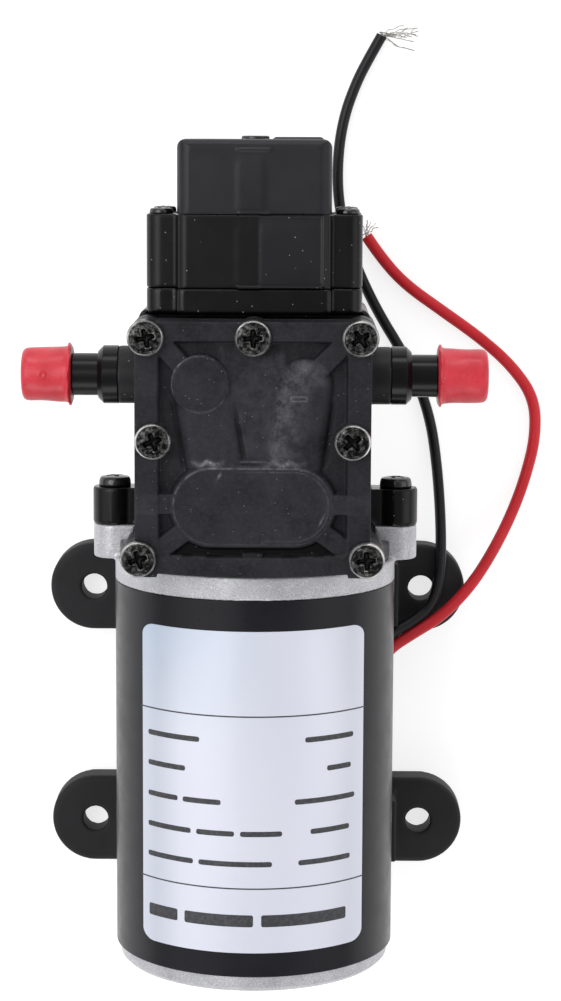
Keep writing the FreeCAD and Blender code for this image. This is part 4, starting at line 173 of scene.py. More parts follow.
def label_film():
    """Silvery label film: a soft blue cast towards its upper left, and painted shade along its left
    edge.
    """
    g = Graph("label_film")
    across = g.span(g.axis("X"), -0.022, 0.006)
    along = g.span(g.axis("Y"), 0.004, 0.028)
    cast = g.op("MULTIPLY", g.op("SUBTRACT", 1.0, across), along)
    soft = g.span(g.noise(38.0, 2.0, place=g.stretch(1.0, 0.5, 1.0)), 0.35, 0.65)
    base = g.mix(soft, (0.70, 0.72, 0.82), (0.75, 0.77, 0.865))
    # Painted shade: darker and bluer towards the left edge, where the label turns away from the light.
    base = g.mix(g.span(g.axis("X"), -0.0135, -0.0185, 0.0, 0.55), base, (0.52, 0.56, 0.66))
    color = g.mix(cast, base, (0.51, 0.60, 0.73))
    roughness = g.uneven(g.noise(900.0, 2.0), 0.28, 0.36)
    normal = g.bump(g.noise(700.0, 2.0), 0.12, 0.00002)
    return g.finish(color, roughness, normal, Metallic=0.22)


def sleeve_vinyl():
    """Satin black sleeve with faint creases along the motor and rolled ends."""
    g = Graph("sleeve_vinyl")
    cloud = g.span(g.noise(70.0, 3.0), 0.35, 0.7)
    color = g.mix(cloud, (0.0050, 0.0050, 0.0080), (0.0088, 0.0088, 0.0124))
    crease = g.noise(150.0, 3.0, place=g.stretch(1.0, 0.08, 1.0))
    roughness = g.uneven(g.noise(300.0, 3.0), 0.27, 0.36)
    fine = g.bump(g.noise(2400.0, 2.0), 0.2, 0.00002, g.rounded(0.0003))
    normal = g.bump(crease, 0.25, 0.00008, fine)
    return g.finish(color, roughness, normal, Specular_IOR_Level=0.26)


def housing_plastic():
    """Matte, dusty moulding; the switch's seat and the screw bosses are smooth and dark."""
    g = Graph("housing_plastic")
    cloud = g.span(g.noise(110.0, 5.0), 0.35, 0.68)
    color = g.mix(cloud, (0.0085, 0.0083, 0.0098), (0.0150, 0.0148, 0.0172))
    seat = g.span(g.axis("Y"), 0.0833, 0.0838)
    side = g.span(g.op("ABSOLUTE", g.axis("X"), 0.0), 0.0222, 0.0226)
    boss = g.op("MULTIPLY", side, g.span(g.axis("Y"), 0.0530, 0.0526))
    smooth = g.op("MAXIMUM", seat, boss)
    color = g.mix(smooth, color, (0.0024, 0.0023, 0.0026))
    color = g.mix(g.flecks(700.0, 0.5), color, (0.24, 0.24, 0.26))
    matte = g.uneven(g.noise(160.0, 3.0), 0.40, 0.54)
    roughness = g.op("SUBTRACT", matte, g.op("MULTIPLY", smooth, 0.26))
    normal = g.bump(g.noise(2600.0, 3.0), 0.35, 0.00004, g.rounded(0.0002))
    return g.finish(color, roughness, normal, Specular_IOR_Level=0.27)


def switch_plastic():
    """Smooth black moulding whose right-hand panel is duller than the rest."""
    g = Graph("switch_plastic")
    cloud = g.span(g.noise(90.0, 4.0), 0.35, 0.68)
    color = g.mix(cloud, (0.0040, 0.0040, 0.0046), (0.0068, 0.0067, 0.0078))
    across = g.span(g.axis("X"), 0.0006, 0.0011)
    across = g.op("MULTIPLY", across, g.span(g.axis("X"), 0.0132, 0.0126))
    high = g.op("MULTIPLY", across, g.span(g.axis("Z"), 0.0552, 0.0558))
    dull = g.mix(cloud, (0.0120, 0.0118, 0.0138), (0.0165, 0.0162, 0.0188))
    color = g.mix(high, color, dull)
    color = g.mix(g.flecks(760.0, 0.45), color, (0.26, 0.26, 0.28))
    streak = g.noise(60.0, 3.0, place=g.stretch(1.0, 0.3, 1.0))
    roughness = g.uneven(streak, 0.24, 0.34)
    normal = g.bump(g.noise(2600.0, 2.0), 0.2, 0.00002, g.rounded(0.00025))
    return g.finish(color, roughness, normal, Specular_IOR_Level=0.22)


def cast_metal():
    """Die-cast zinc: a bright, grainy skin with small pits and duller patches."""
    g = Graph("cast_metal")
    patch = g.span(g.noise(130.0, 5.0), 0.35, 0.68)
    color = g.mix(patch, (0.45, 0.45, 0.48), (0.61, 0.61, 0.64))
    grain = g.noise(3600.0, 3.0, 0.6)
    color = g.mix(g.span(grain, 0.54, 0.72, 0.0, 0.6), color, (0.88, 0.88, 0.90))
    color = g.mix(g.span(grain, 0.47, 0.30, 0.0, 0.7), color, (0.26, 0.26, 0.28))
    roughness = g.uneven(g.noise(1200.0, 3.0), 0.34, 0.52)
    pits = g.bump(g.noise(1900.0, 4.0, 0.7), 0.8, 0.00008, g.rounded(0.0003))
    return g.finish(color, roughness, pits, Metallic=0.55)


def vinyl_cap():
    """Dipped red vinyl, cloudy, with small bubbles and specks."""
    g = Graph("vinyl_cap")
    cloud = g.span(g.noise(210.0, 4.0), 0.32, 0.68)
    color = g.mix(cloud, (0.56, 0.026, 0.042), (0.70, 0.050, 0.072))
    color = g.mix(g.span(g.noise(1500.0, 3.0), 0.60, 0.72, 0.0, 0.5), color, (0.42, 0.028, 0.042))
    color = g.mix(g.flecks(900.0, 0.04), color, (0.95, 0.50, 0.52))
    roughness = g.uneven(g.noise(320.0, 3.0), 0.26, 0.42)
    normal = g.bump(g.noise(620.0, 3.0), 0.25, 0.00006)
    soft = {"Subsurface_Weight": 0.12, "Subsurface_Scale": 0.0015}
    return g.finish(color, roughness, normal, Specular_IOR_Level=0.38, **soft)


def label_ink():
    """Printing ink, a little thin in places."""
    g = Graph("label_ink")
    thin = g.span(g.noise(1500.0, 3.0), 0.4, 0.7)
    color = g.mix(thin, (0.030, 0.031, 0.036), (0.065, 0.066, 0.074))
    roughness = g.uneven(g.noise(500.0), 0.34, 0.46)
    return g.finish(color, roughness, g.bump(g.noise(1800.0), 0.1, 0.00001))


def cover_plastic():
    """Matte moulding, paler where it was rubbed and where it is hazed, with scratches and dust; part
    of that paleness is painted highlight, and its low places carry painted shade.
    """
    g = Graph("cover_plastic")
    cloud = g.span(g.noise(120.0, 6.0, 0.62), 0.34, 0.68)
    color = g.mix(cloud, (0.0088, 0.0085, 0.0110), (0.0232, 0.0226, 0.0272))
    # Painted shade in the low places, channel and grooves, kept as "deep".
    deep = g.kept("deep")
    color = g.mix(deep, color, (0.0012, 0.0011, 0.0013))
    # Pale haze, partly painted highlight on the right-hand way.
    haze_and_highlight = g.kept("haze_and_highlight")
    rough = g.span(g.noise(420.0, 8.0, 0.78), 0.40, 0.64)
    color = g.mix(g.op("MULTIPLY", haze_and_highlight, rough), color, (0.105, 0.102, 0.120))
    # Rubbed edges, partly painted highlight on edges towards the light.
    wear_and_highlight = g.kept("wear_and_highlight")
    broken = g.span(g.noise(900.0, 5.0, 0.7), 0.36, 0.60, 0.1, 1.0)
    color = g.mix(g.op("MULTIPLY", wear_and_highlight, broken), color, (0.27, 0.265, 0.30))
    streaks = g.noise(240.0, 3.0, place=g.stretch(1.0, 0.05, 1.0))
    color = g.mix(g.span(streaks, 0.66, 0.72, 0.0, 0.2), color, (0.07, 0.07, 0.08))
    color = g.mix(g.flecks(900.0, 0.5), color, (0.17, 0.17, 0.19))
    grain = g.span(g.noise(1250.0, 5.0, 0.75), 0.42, 0.70, 0.0, 0.34)
    color = g.mix(g.op("MULTIPLY", grain, g.op("SUBTRACT", 1.0, deep)), color, (0.045, 0.044, 0.052))
    roughness = g.uneven(g.noise(180.0, 3.0), 0.42, 0.56)
    normal = g.bump(g.noise(1500.0, 5.0, 0.7), 0.45, 0.00007)
    return g.finish(color, roughness, normal, Specular_IOR_Level=0.15)


def screw_nickel():
    """Dark plating with scratched lands, a painted bright rim with painted glints at the recess edges,
    and painted shade in the recess.
    """
    g = Graph("screw_nickel")
    mottle = g.span(g.noise(1300.0, 6.0, 0.75), 0.46, 0.78)
    color = g.mix(mottle, (0.004, 0.004, 0.004), (0.230, 0.230, 0.225))
    # Painted highlight: the rim ring and glints along the recess edges, kept as "rim".
    rim = g.kept("rim")
    broken = g.span(g.noise(330.0, 3.0), 0.38, 0.58, 0.25, 1.0)
    color = g.mix(g.op("MULTIPLY", rim, broken), color, (0.85, 0.85, 0.84))
    # Painted shade: the recess coloured nearly black.
    recess_shade = g.kept("recess_shade")
    color = g.mix(recess_shade, color, (0.004, 0.004, 0.004))
    relief = g.noise(1700.0, 6.0, place=g.stretch(1.0, 0.6, 1.0), distortion=0.8)
    roughness = g.uneven(g.noise(900.0, 4.0), 0.20, 0.42)
    return g.finish(color, roughness, g.bump(relief, 0.6, 0.00006), Metallic=0.85)


# Plastics and rubbers: dark tone, light tone, roughness and further settings
MOULDED = {
    "black_plastic": ((0.0072, 0.0071, 0.0092), (0.0136, 0.0133, 0.0172), 0.42, {"specks": 0.05}),
    "black_gloss": (
        (0.0022, 0.0022, 0.0026),
        (0.0048, 0.0048, 0.0055),
        0.20,
        {"depth": 0.00001, "Specular_IOR_Level": 0.2},
    ),
    "foot_rubber": (
        (0.0095, 0.0093, 0.0108),
        (0.0165, 0.0163, 0.0185),
        0.60,
        {"grain": 1900.0, "depth": 0.00005},
    ),
    "seal_rubber": ((0.012, 0.012, 0.012), (0.022, 0.022, 0.023), 0.60, {}),
    "screw_black": (
        (0.003, 0.003, 0.003),
        (0.010, 0.010, 0.010),
        0.14,
        {"grain": 1500.0, "depth": 0.00002, "Specular_IOR_Level": 0.7},
    ),
    "carbon": ((0.02, 0.02, 0.02), (0.05, 0.05, 0.05), 0.5, {}),
    "tan_board": ((0.30, 0.17, 0.07), (0.42, 0.26, 0.12), 0.6, {}),
    "white_nylon": ((0.62, 0.62, 0.57), (0.72, 0.72, 0.67), 0.40, {}),
    "switch_case": ((0.02, 0.02, 0.03), (0.035, 0.035, 0.045), 0.40, {}),
    "red_insulation": ((0.56, 0.016, 0.024), (0.66, 0.026, 0.036), 0.32, {"grain": 900.0}),
    "black_insulation": ((0.0045, 0.0046, 0.0062), (0.0085, 0.0086, 0.0110), 0.32, {"grain": 900.0}),
}
# Metals, in the same way
METALS = {
    "can_steel": ((0.30, 0.30, 0.31), (0.38, 0.38, 0.39), 0.35, {}),
    "screw_dull": ((0.05, 0.05, 0.05), (0.13, 0.13, 0.13), 0.32, {"grain": 900.0, "depth": 0.00003}),
    "dark_screws": ((0.10, 0.10, 0.10), (0.24, 0.24, 0.24), 0.30, {"grain": 900.0, "depth": 0.00003}),
    "bright_steel": ((0.50, 0.50, 0.51), (0.66, 0.66, 0.67), 0.28, {}),
    "magnet": ((0.06, 0.06, 0.065), (0.10, 0.10, 0.10), 0.55, {"metallic": 0.3}),
    "core": (
        (0.26, 0.26, 0.27),
        (0.40, 0.40, 0.41),
        0.40,
        {"grain": 2200.0, "depth": 0.00005, "brushed": (0.05, 1.0, 0.05)},
    ),
    "copper": ((0.55, 0.22, 0.08), (0.80, 0.40, 0.18), 0.30, {"grain": 1800.0, "depth": 0.00008}),
    "holder_brass": ((0.60, 0.42, 0.16), (0.76, 0.56, 0.26), 0.30, {}),
    "tinned_copper": ((0.26, 0.25, 0.24), (0.66, 0.65, 0.63), 0.25, {}),
}


def make_materials():
    """All finishes by name; the names of the record's slots are among them."""
    made = {
        "black_sleeve": sleeve_vinyl(),
        "label": label_film(),
        "cast_silver": cast_metal(),
        "cover_plastic": cover_plastic(),
        "housing_plastic": housing_plastic(),
        "switch_plastic": switch_plastic(),
        "label_ink": label_ink(),
        "screw_nickel": screw_nickel(),
        "red_vinyl": vinyl_cap(),
    }
    for kind, table in ((moulded, MOULDED), (metal, METALS)):
        for name, (dark, light, rough, more) in table.items():
            made[name] = kind(name, dark, light, rough, **more)
    return made


materials = make_materials()
slot_of = {row["node"]: row["material_slot"] for row in frame["record"]["subparts"]}


def paint(item, material):
    item.data.materials.clear()
    item.data.materials.append(materials[material])


# CAD nodes whose finish differs from their slot's
OTHER_FINISH = {
    "inlet_fitting": "black_gloss",
    "outlet_fitting": "black_gloss",
    "adjust_screw": "screw_dull",
}

for name, item in nodes.items():
    for used in item.material_slots:
        used.material = materials[OTHER_FINISH.get(name, slot_of[name])]


# Building pieces

def placed(name, data):
    """A new object in the scene."""
    item = bpy.data.objects.new(name, data)
    bpy.context.scene.collection.objects.link(item)
    return item


def add(name, mesh, body, slot, material=None, smooth=True):
    """Puts a mesh in the scene on its body, painted with the given material, or with the slot's own
    where none is given.
    """
    item = placed(name, mesh)
    paint(item, material or slot)
    if smooth:
        mesh.shade_smooth()
    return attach(item, body)


def from_bmesh(name, shape):
    mesh = bpy.data.meshes.new(name)
    shape.to_mesh(mesh)
    shape.free()
    return mesh


def body_of(node):
    return next(b for b, members in frame["record"]["behaviour"]["bodies"].items() if node in members)


def baked(item):
    """The item's mesh with its modifiers in it; the item itself goes."""
    graph = bpy.context.evaluated_depsgraph_get()
    mesh = bpy.data.meshes.new_from_object(item.evaluated_get(graph))
    bpy.data.objects.remove(item)
    return mesh


def remeshed(mesh, voxel, rounds, keep=None):
    """The mesh as an even grid of small faces, smoothed, and thinned to a share of its faces."""
    work = placed("work", mesh)
    remesh = work.modifiers.new("remesh", "REMESH")
    remesh.mode = "VOXEL"
    remesh.voxel_size = voxel
    smooth = work.modifiers.new("smooth", "SMOOTH")
    smooth.factor = 0.5
    smooth.iterations = rounds
    if keep is not None:
        thin = work.modifiers.new("thin", "DECIMATE")
        thin.ratio = keep
    return baked(work)


def softened(node, voxel, rounds, keep=0.5, material=None):
    """A copy of a CAD node whose edges are rounded as in a mould."""
    mesh = remeshed(nodes[node].data.copy(), voxel, rounds, keep)
    made = add(node + "_skin", mesh, body_of(node), slot_of[node], material)
    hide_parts(node)
    return made


# Leads. Each goes from the grommet on the can to its stripped end, in millimetres.

RED_ROUTE = [
    (26.9, 13.0, 12.6),
    (31.8, 15.9, 11.0),
    (37.6, 19.2, 9.6),
    (43.4, 25.0, 8.5),
    (48.0, 31.7, 6.0),
    (52.0, 39.0, 3.0),
    (55.0, 46.7, 1.26),
    (57.0, 55.3, 1.2),
    (56.6, 63.3, 1.21),
    (51.8, 70.0, 1.2),
    (45.2, 75.7, 1.21),
    (37.6, 81.0, 1.2),
    (29.6, 86.6, 1.21),
    (24.6, 92.2, 1.2),
    (21.9, 96.2, 1.2),
]
BLACK_ROUTE = [
    (27.2, 16.2, 12.6),
    (31.9, 18.4, 10.9),
    (35.9, 21.6, 9.4),
    (37.4, 28.0, 8.6),
    (37.5, 35.0, 7.9),
    (37.3, 42.5, 4.2),
    (36.7, 50.0, 1.35),
    (35.5, 58.0, 1.15),
    (33.0, 65.8, 1.16),
    (29.2, 73.0, 1.15),
    (24.8, 80.0, 1.16),
    (21.0, 87.4, 1.15),
    (17.8, 95.4, 1.16),
    (16.0, 103.8, 1.15),
    (15.9, 112.4, 1.16),
    (17.1, 120.3, 1.15),
    (19.6, 127.2, 1.16),
    (22.2, 132.2, 1.15),
    (24.6, 136.4, 1.16),
]
LEAD_ANGLE = math.radians(40)
LEAD_OUT = Vector((math.cos(LEAD_ANGLE), 0, -math.sin(LEAD_ANGLE)))
LEAD_EXIT = 28.6
LEAD_STRAIGHT = 3.9
STRAND_RADIUS = 0.095
# Each wire's bends from the lead's end
STRANDS = {
    "black_strands": (
        [(2.2, -0.4, 0.7), (4.6, 1.1, 0.9), (7.1, 1.6, 0.6)],
        [(1.8, 0.5, 0.4), (4.2, -0.3, 0.9), (7.3, 0.9, 0.3)],
        [(2.4, 0.2, 0.9), (4.8, -0.4, 0.4), (6.6, 1.4, 0.9)],
        [(1.6, -0.2, 0.3), (3.9, 0.8, 0.2), (6.9, 0.2, 0.0)],
        [(2.1, 0.7, 1.1), (4.4, 0.3, 1.3), (6.2, -0.4, 0.8)],
        [(1.9, 0.1, 0.0), (4.0, -0.9, 0.1), (6.4, -0.9, -0.3)],
        [(1.3, 1.1, 0.6), (2.9, 1.6, 0.9), (4.4, 2.0, 0.5)],
        [(2.6, -0.1, 0.6), (5.2, 0.6, 0.5), (7.2, -0.2, 0.5)],
        [(1.5, -1.0, 0.2), (3.6, -2.2, 0.0), (6.6, -3.0, -0.5)],
        [(1.2, -0.9, 0.6), (2.6, -1.9, 0.5), (4.6, -2.5, -0.2)],
        [(1.7, 0.4, 1.0), (3.4, 0.9, 1.6), (5.2, 1.7, 1.5)],
    ),
    "red_strands": (
        [(-0.2, 1.0, 0.2), (0.3, 2.0, 0.5), (1.0, 2.9, 0.3)],
        [(0.3, 0.9, 0.3), (0.9, 1.8, 0.3), (1.9, 2.6, -0.2)],
        [(-0.3, 0.8, 0.5), (-0.6, 1.6, 0.7), (-0.9, 2.3, 0.4)],
        [(0.0, 1.1, 0.6), (0.1, 2.2, 1.0), (-0.1, 3.3, 1.1)],
        [(0.5, 0.8, 0.5), (1.2, 1.4, 0.8), (2.2, 1.9, 0.8)],
        [(-0.1, 0.7, 0.0), (0.0, 1.6, -0.3), (0.3, 2.3, -0.5)],
    ),
}


def build_wires(name, node, routes, radius, rings, steps, slot):
    """Round wires on the pump, each a smooth curve that follows its route, in metres."""
    curve = bpy.data.curves.new(name, "CURVE")
    curve.dimensions = "3D"
    curve.bevel_depth = radius * MM
    curve.bevel_resolution = rings
    curve.use_fill_caps = True
    for route in routes:
        spline = curve.splines.new("NURBS")
        spline.points.add(len(route) - 1)
        for spot, place in zip(spline.points, route):
            spot.co = (*place, 1.0)
        spline.order_u = 3
        spline.use_endpoint_u = True
        spline.resolution_u = steps
    item = placed(name, curve)
    curve.materials.append(materials[slot])
    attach(item, "pump")
    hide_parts(node)
    return item


def build_strands(node, tip, radius):
    """Fine bare wires that leave the lead's end and spread unevenly."""
    routes = []
    for number, steps in enumerate(STRANDS[node]):
        first = Vector(steps[0]).normalized()
        side = first.orthogonal()
        side.rotate(Matrix.Rotation(2.4 * number, 3, first))
        start = side * (0.5 * radius) - first * 0.5
        corners = [start] + [Vector(step) for step in steps]
        route = [start]
        for part, (near, far) in enumerate(zip(corners, corners[1:])):
            for k in (1, 2):
                wave = 0.2 * math.sin(1.9 * (2 * part + k) + 1.3 * number)
                route.append(near.lerp(far, 0.5 * k) + side * wave)
        routes.append([tip + place * MM for place in route])
    return build_wires(node + "_wires", node, routes, STRAND_RADIUS, 2, 8, "tinned_copper")


def build_lead(name, along, route, radius, slot):
    """A round lead that leaves the can at that place along the motor, with its bare strands."""
    centre = Vector((0, along, SHAFT_HIGH))
    start = [centre + LEAD_OUT * (LEAD_EXIT + step) for step in (0, LEAD_STRAIGHT)]
    points = [Vector(p) * MM for p in start + route]
    item = build_wires(name + "_run", name, [points], radius, 8, 24, slot)
    build_strands(name.replace("lead", "strands"), points[-1], radius)


build_lead("red_lead", 9.6, RED_ROUTE, 1.18, "red_insulation")
build_lead("black_lead", 13.2, BLACK_ROUTE, 1.10, "black_insulation")


# Front cover: a plate whose upper face carries the water ways as one relief

COVER_TOP = 64.0
COVER_BOTTOM = 57.1
POCKET = 61.8
HEAD_LOW, HEAD_HIGH, HEAD_SIDE = 36.3, 83.1, 21.5
LOBE = 3.35
# Each screw's place and its turn in degrees
COVER_SCREWS = [
    (-19.4, 80.2, 14),
    (0.0, 80.2, 3),
    (19.4, 80.2, 32),
    (-18.1, 61.4, 20),
    (18.1, 61.4, 38),
    (-20.8, 39.8, 17),
    (20.8, 39.8, 4),
]

# Rounded rectangles: left, right, low, high and corner
RECESS = (-17.2, 17.2, 40.4, 79.5, 1.0)
MARK = (6.7, 9.9, 68.6, 69.7, 0.4)
# A round pad, and the middle lines of the two water ways, the valve box and the webs
PAD = (-9.65, 71.7)
LEFT_WAY = (PAD, (-6.4, 52.6))
RIGHT_WAY = ((9.5, 71.4), (6.9, 52.6))
VALVE_BOX = ((-7.5, 49.4), (7.5, 49.4))
WEBS = [
    ((-17.4, 79.9), (-12.0, 73.9)),
    ((17.4, 79.9), (12.0, 74.6)),
    ((-18.2, 40.3), (-11.5, 45.5)),
    ((18.2, 40.3), (11.5, 45.5)),
    ((-18.0, 49.75), (18.0, 49.75)),
]


def share(value, width=1.0):
    """Goes from 0 to 1 while the value goes from 0 to width."""
    return np.clip(value / width, 0, 1)


def line(value, width):
    """A soft line: 1 where the value is 0, and almost 0 from twice the width."""
    return np.exp(-((value / width) ** 2))


def bulge(depth, width, power=2.0):
    """Goes from 0 at an edge to 1 at width inside it, as a rounded shoulder."""
    return (1 - (1 - share(depth, width)) ** power) ** (1 / power)


def capsule(x, y, start, end):
    """Distance from a line between two points."""
    ax, ay = start
    bx, by = end
    t = share((x - ax) * (bx - ax) + (y - ay) * (by - ay), (bx - ax) ** 2 + (by - ay) ** 2)
    return np.hypot(x - ax - t * (bx - ax), y - ay - t * (by - ay))


def frame_depth(x, y, left, right, low, high, corner):
    """How far a point lies inside a rectangle with rounded corners."""
    u = np.abs(x - (left + right) / 2) - (right - left) / 2 + corner
    v = np.abs(y - (low + high) / 2) - (high - low) / 2 + corner
    return corner - np.hypot(np.maximum(u, 0), np.maximum(v, 0)) - np.minimum(np.maximum(u, v), 0)


def soft_max(a, b, width):
    """The larger of two heights, with a fillet where they meet."""
    t = np.clip(0.5 + (a - b) / (2 * width), 0, 1)
    return b + (a - b) * t + width * t * (1 - t)


def cover_relief(x, y):
    """The height of the cover's upper face, and by name the forms that its wear follows."""
    # Recess
    side = np.abs(x)
    bow = 0.55 * np.clip(1 - (x / 16) ** 2, 0, 1) * (y < 45)
    recess = frame_depth(x, y + bow, *RECESS)
    height = COVER_TOP - (COVER_TOP - POCKET) * bulge(recess, 0.45, 1.6)
    moat = line(recess - 0.75, 0.42)
    channel = share(44.0 - y, 0.5) * share(16.4 - side, 0.6) * share(recess, 0.3)
    height = height - 0.7 * moat * (recess > 0) - 3.0 * channel
    wedge = share(6.5 - side) * share(79.4 - y, 3.2) * (y > 52)
    height = np.maximum(height, POCKET + 0.5 * wedge * wedge * (3 - 2 * wedge))
    # Webs and the tab at the near edge
    for start, end in WEBS:
        web = 2.0 - capsule(x, y, start, end)
        height = np.maximum(height, POCKET + 1.7 * bulge(web, 0.35))
    tab = np.minimum(2.1 - side, 40.9 - y)
    height = np.maximum(height, POCKET - 4.0 + 4.9 * bulge(tab, 0.3) * (y > 39))
    # Water ways, with a groove along their feet
    left = 5.15 - capsule(x, y, *LEFT_WAY)
    right = 5.2 - capsule(x, y, *RIGHT_WAY)
    along = share(69.0 - y, 4) * share(y - 56.0, 2)
    groove = np.maximum(line(left + 0.35, 0.38), line(right + 0.35, 0.38) * (x > 8)) * along
    height = height - 0.75 * groove * (height < POCKET + 0.8)
    height = soft_max(height, POCKET - 0.4 + 2.0 * bulge(left, 4.4, 2.3), 0.12)
    height = soft_max(height, POCKET - 0.4 + 2.6 * bulge(right, 5.2, 2.1), 0.12)
    # Pad, valve box and mark
    pad = 5.4 - np.hypot(x - PAD[0], y - PAD[1])
    height = soft_max(height, POCKET - 0.3 + 2.1 * bulge(pad, 0.5), 0.05)
    height = height - 0.16 * line(pad - 0.42, 0.16) * (pad > 0)
    box = 7.5 - capsule(x, y, *VALVE_BOX)
    height = soft_max(height, POCKET - 0.4 + 2.2 * bulge(box + 0.45, 0.75), 0.06)
    inner = POCKET + 1.8 + 0.38 * bulge(box - 0.42, 0.35)
    height = np.where(box > 0.42, np.maximum(height, inner), height)
    mark = frame_depth(x, y, *MARK)
    height = height - 0.10 * np.exp(-((mark - 0.1) ** 2) / 0.03)
    # Damage, and the level lobes under the screws
    chip = np.exp(-(((x + 6.1 - 0.45 * (y - 55.0)) ** 2) / 0.035 + ((y - 55.0) ** 2) / 0.30))
    scrape = np.exp(-((x - 12.6 - 0.5 * (y - 47.0)) ** 2) / 0.02 - (y - 47.0) ** 2 / 1.2)
    height = height + 0.12 * chip + 0.10 * scrape
    for across, place, _ in COVER_SCREWS:
        height = np.where(np.hypot(x - across, y - place) < LOBE, COVER_TOP, height)
    forms = {"channel": channel, "wedge": wedge, "left": left, "right": right, "groove": groove}
    return height, {**forms, "pad": pad, "box": box, "mark": mark, "chip": chip, "scrape": scrape}


def cover_wear_and_highlight(x, y, forms):
    """How far the cover's edges are rubbed pale, with painted highlight on the edges towards the upper
    left and a painted highlight streak along the ways' feet.
    """
    pad, box = forms["pad"], forms["box"]
    # Painted highlight: the box's and pad's edges paler towards the upper left, where the light comes
    # from.
    upper_left = 0.5 + 0.5 * np.clip((y - 49.4 - 0.5 * (x + 6)) / 7, -1, 1)
    wear_and_highlight = (0.15 + 0.38 * upper_left) * line(box - 0.50, 0.13)
    wear_and_highlight += 0.22 * line(box - 1.15, 0.10) * share(x + 4, 8)
    lit = share(-(x - PAD[0]) + (y - PAD[1]), 7.6)
    wear_and_highlight += (0.25 + 0.45 * lit) * line(pad - 0.25, 0.13)
    # Painted highlight: a pale streak where the ways meet the valve box.
    feet = np.maximum(share(3.4 - np.abs(x + 8.2), 3.4) * 1.5, share(4.6 - np.abs(x - 5.6), 4.6) * 0.9)
    wear_and_highlight += 0.8 * line(y - 57.2 - 0.25 * np.sin(2.1 * x), 0.42) * feet
    wear_and_highlight += 0.45 * line(y - 57.5, 0.12) * (np.abs(x) < 2.4)
    wear_and_highlight += 0.8 * forms["chip"] + 0.6 * forms["scrape"]
    wear_and_highlight += 0.35 * np.exp(-((forms["mark"] - 0.15) ** 2) / 0.02)
    return np.clip(wear_and_highlight, 0, 1)


def cover_haze_and_highlight(x, y, forms):
    """How far dried water dulls the cover, with painted highlight on the right-hand way's side towards
    the light: most on that way.
    """
    box, side = forms["box"], np.abs(x)
    # Painted highlight: the right-hand way paler on its left side, towards the light.
    lean = (9.5 - 2.6 * (71.4 - y) / 18.8 - x) / 5.2
    top = np.clip((y - 70) / 4, 0, 0.4)
    on_way = share(forms["right"], 0.6) * np.clip(0.36 + 0.75 * lean + top, 0.05, 0.9)
    haze_and_highlight = on_way * share(y - 55.5, 3)
    for place in (
        0.08 * share(forms["left"], 0.6) * share(-6.2 - x, 3) * (y < 67),
        forms["wedge"] * (box < 0) * (0.12 + 0.20 * share(x + 4, 9)),
        0.13 * (np.abs(y - 49.75) < 1.9) * share(side - 14.2, 0.6),
        0.11 * share(box, 0.6) * share(x + 6, 12),
    ):
        haze_and_highlight = np.maximum(haze_and_highlight, place)
    return np.clip(haze_and_highlight, 0, 1)


def cover_painted_shade(height, forms):
    """Painted shade: how dark the cover's low places, channel and grooves are coloured."""
    low = 0.8 * share(POCKET + 0.2 - height, 0.8)
    deep = np.maximum(np.maximum(forms["channel"], low), 0.7 * forms["groove"])
    return deep * (height < POCKET + 0.4)


def cover_under(x, y):
    """Height of the spaces under the cover where the valves stand."""
    room = np.maximum(4.9 - np.hypot(np.abs(x) - 7.0, y - 49.3), 0)
    return COVER_BOTTOM + 4.3 * share(room, 0.3)


def outline_prism(low, high, steps=14):
    """The cover's outline with its lobes, as a closed prism."""
    shape = bmesh.new()
    corner = 2.0
    points = []
    for number, (sx, sy) in enumerate(((1, 1), (-1, 1), (-1, -1), (1, -1))):
        cx = sx * (HEAD_SIDE - corner)
        cy = (HEAD_HIGH - corner) if sy > 0 else (HEAD_LOW + corner)
        for k in range(steps + 1):
            angle = math.radians(90 * number + 90 * k / steps)
            points.append((cx + corner * math.cos(angle), cy + corner * math.sin(angle)))
    rims = [points]
    turns = [2 * math.pi * k / 40 for k in range(40)]
    for x, y, _ in COVER_SCREWS:
        rims.append([(x + LOBE * math.cos(t), y + LOBE * math.sin(t)) for t in turns])
    for rim in rims:
        floor = [shape.verts.new((x * MM, y * MM, low * MM)) for x, y in rim]
        roof = [shape.verts.new((x * MM, y * MM, high * MM)) for x, y in rim]
        shape.faces.new(list(reversed(floor)))
        shape.faces.new(roof)
        for k in range(len(rim)):
            after = (k + 1) % len(rim)
            shape.faces.new((floor[k], floor[after], roof[after], roof[k]))
    return from_bmesh("outline", shape)


def coordinates(mesh):
    values = np.empty(len(mesh.vertices) * 3)
    mesh.vertices.foreach_get("co", values)
    return values.reshape(-1, 3) / MM


def set_coordinates(mesh, values):
    mesh.vertices.foreach_set("co", (values * MM).ravel())
    mesh.update()


def mark_points(mesh, name, values):
    """Keeps one number for each point, for the material to read."""
    layer = mesh.attributes.new(name, "FLOAT", "POINT")
    layer.data.foreach_set("value", values.astype(np.float32))


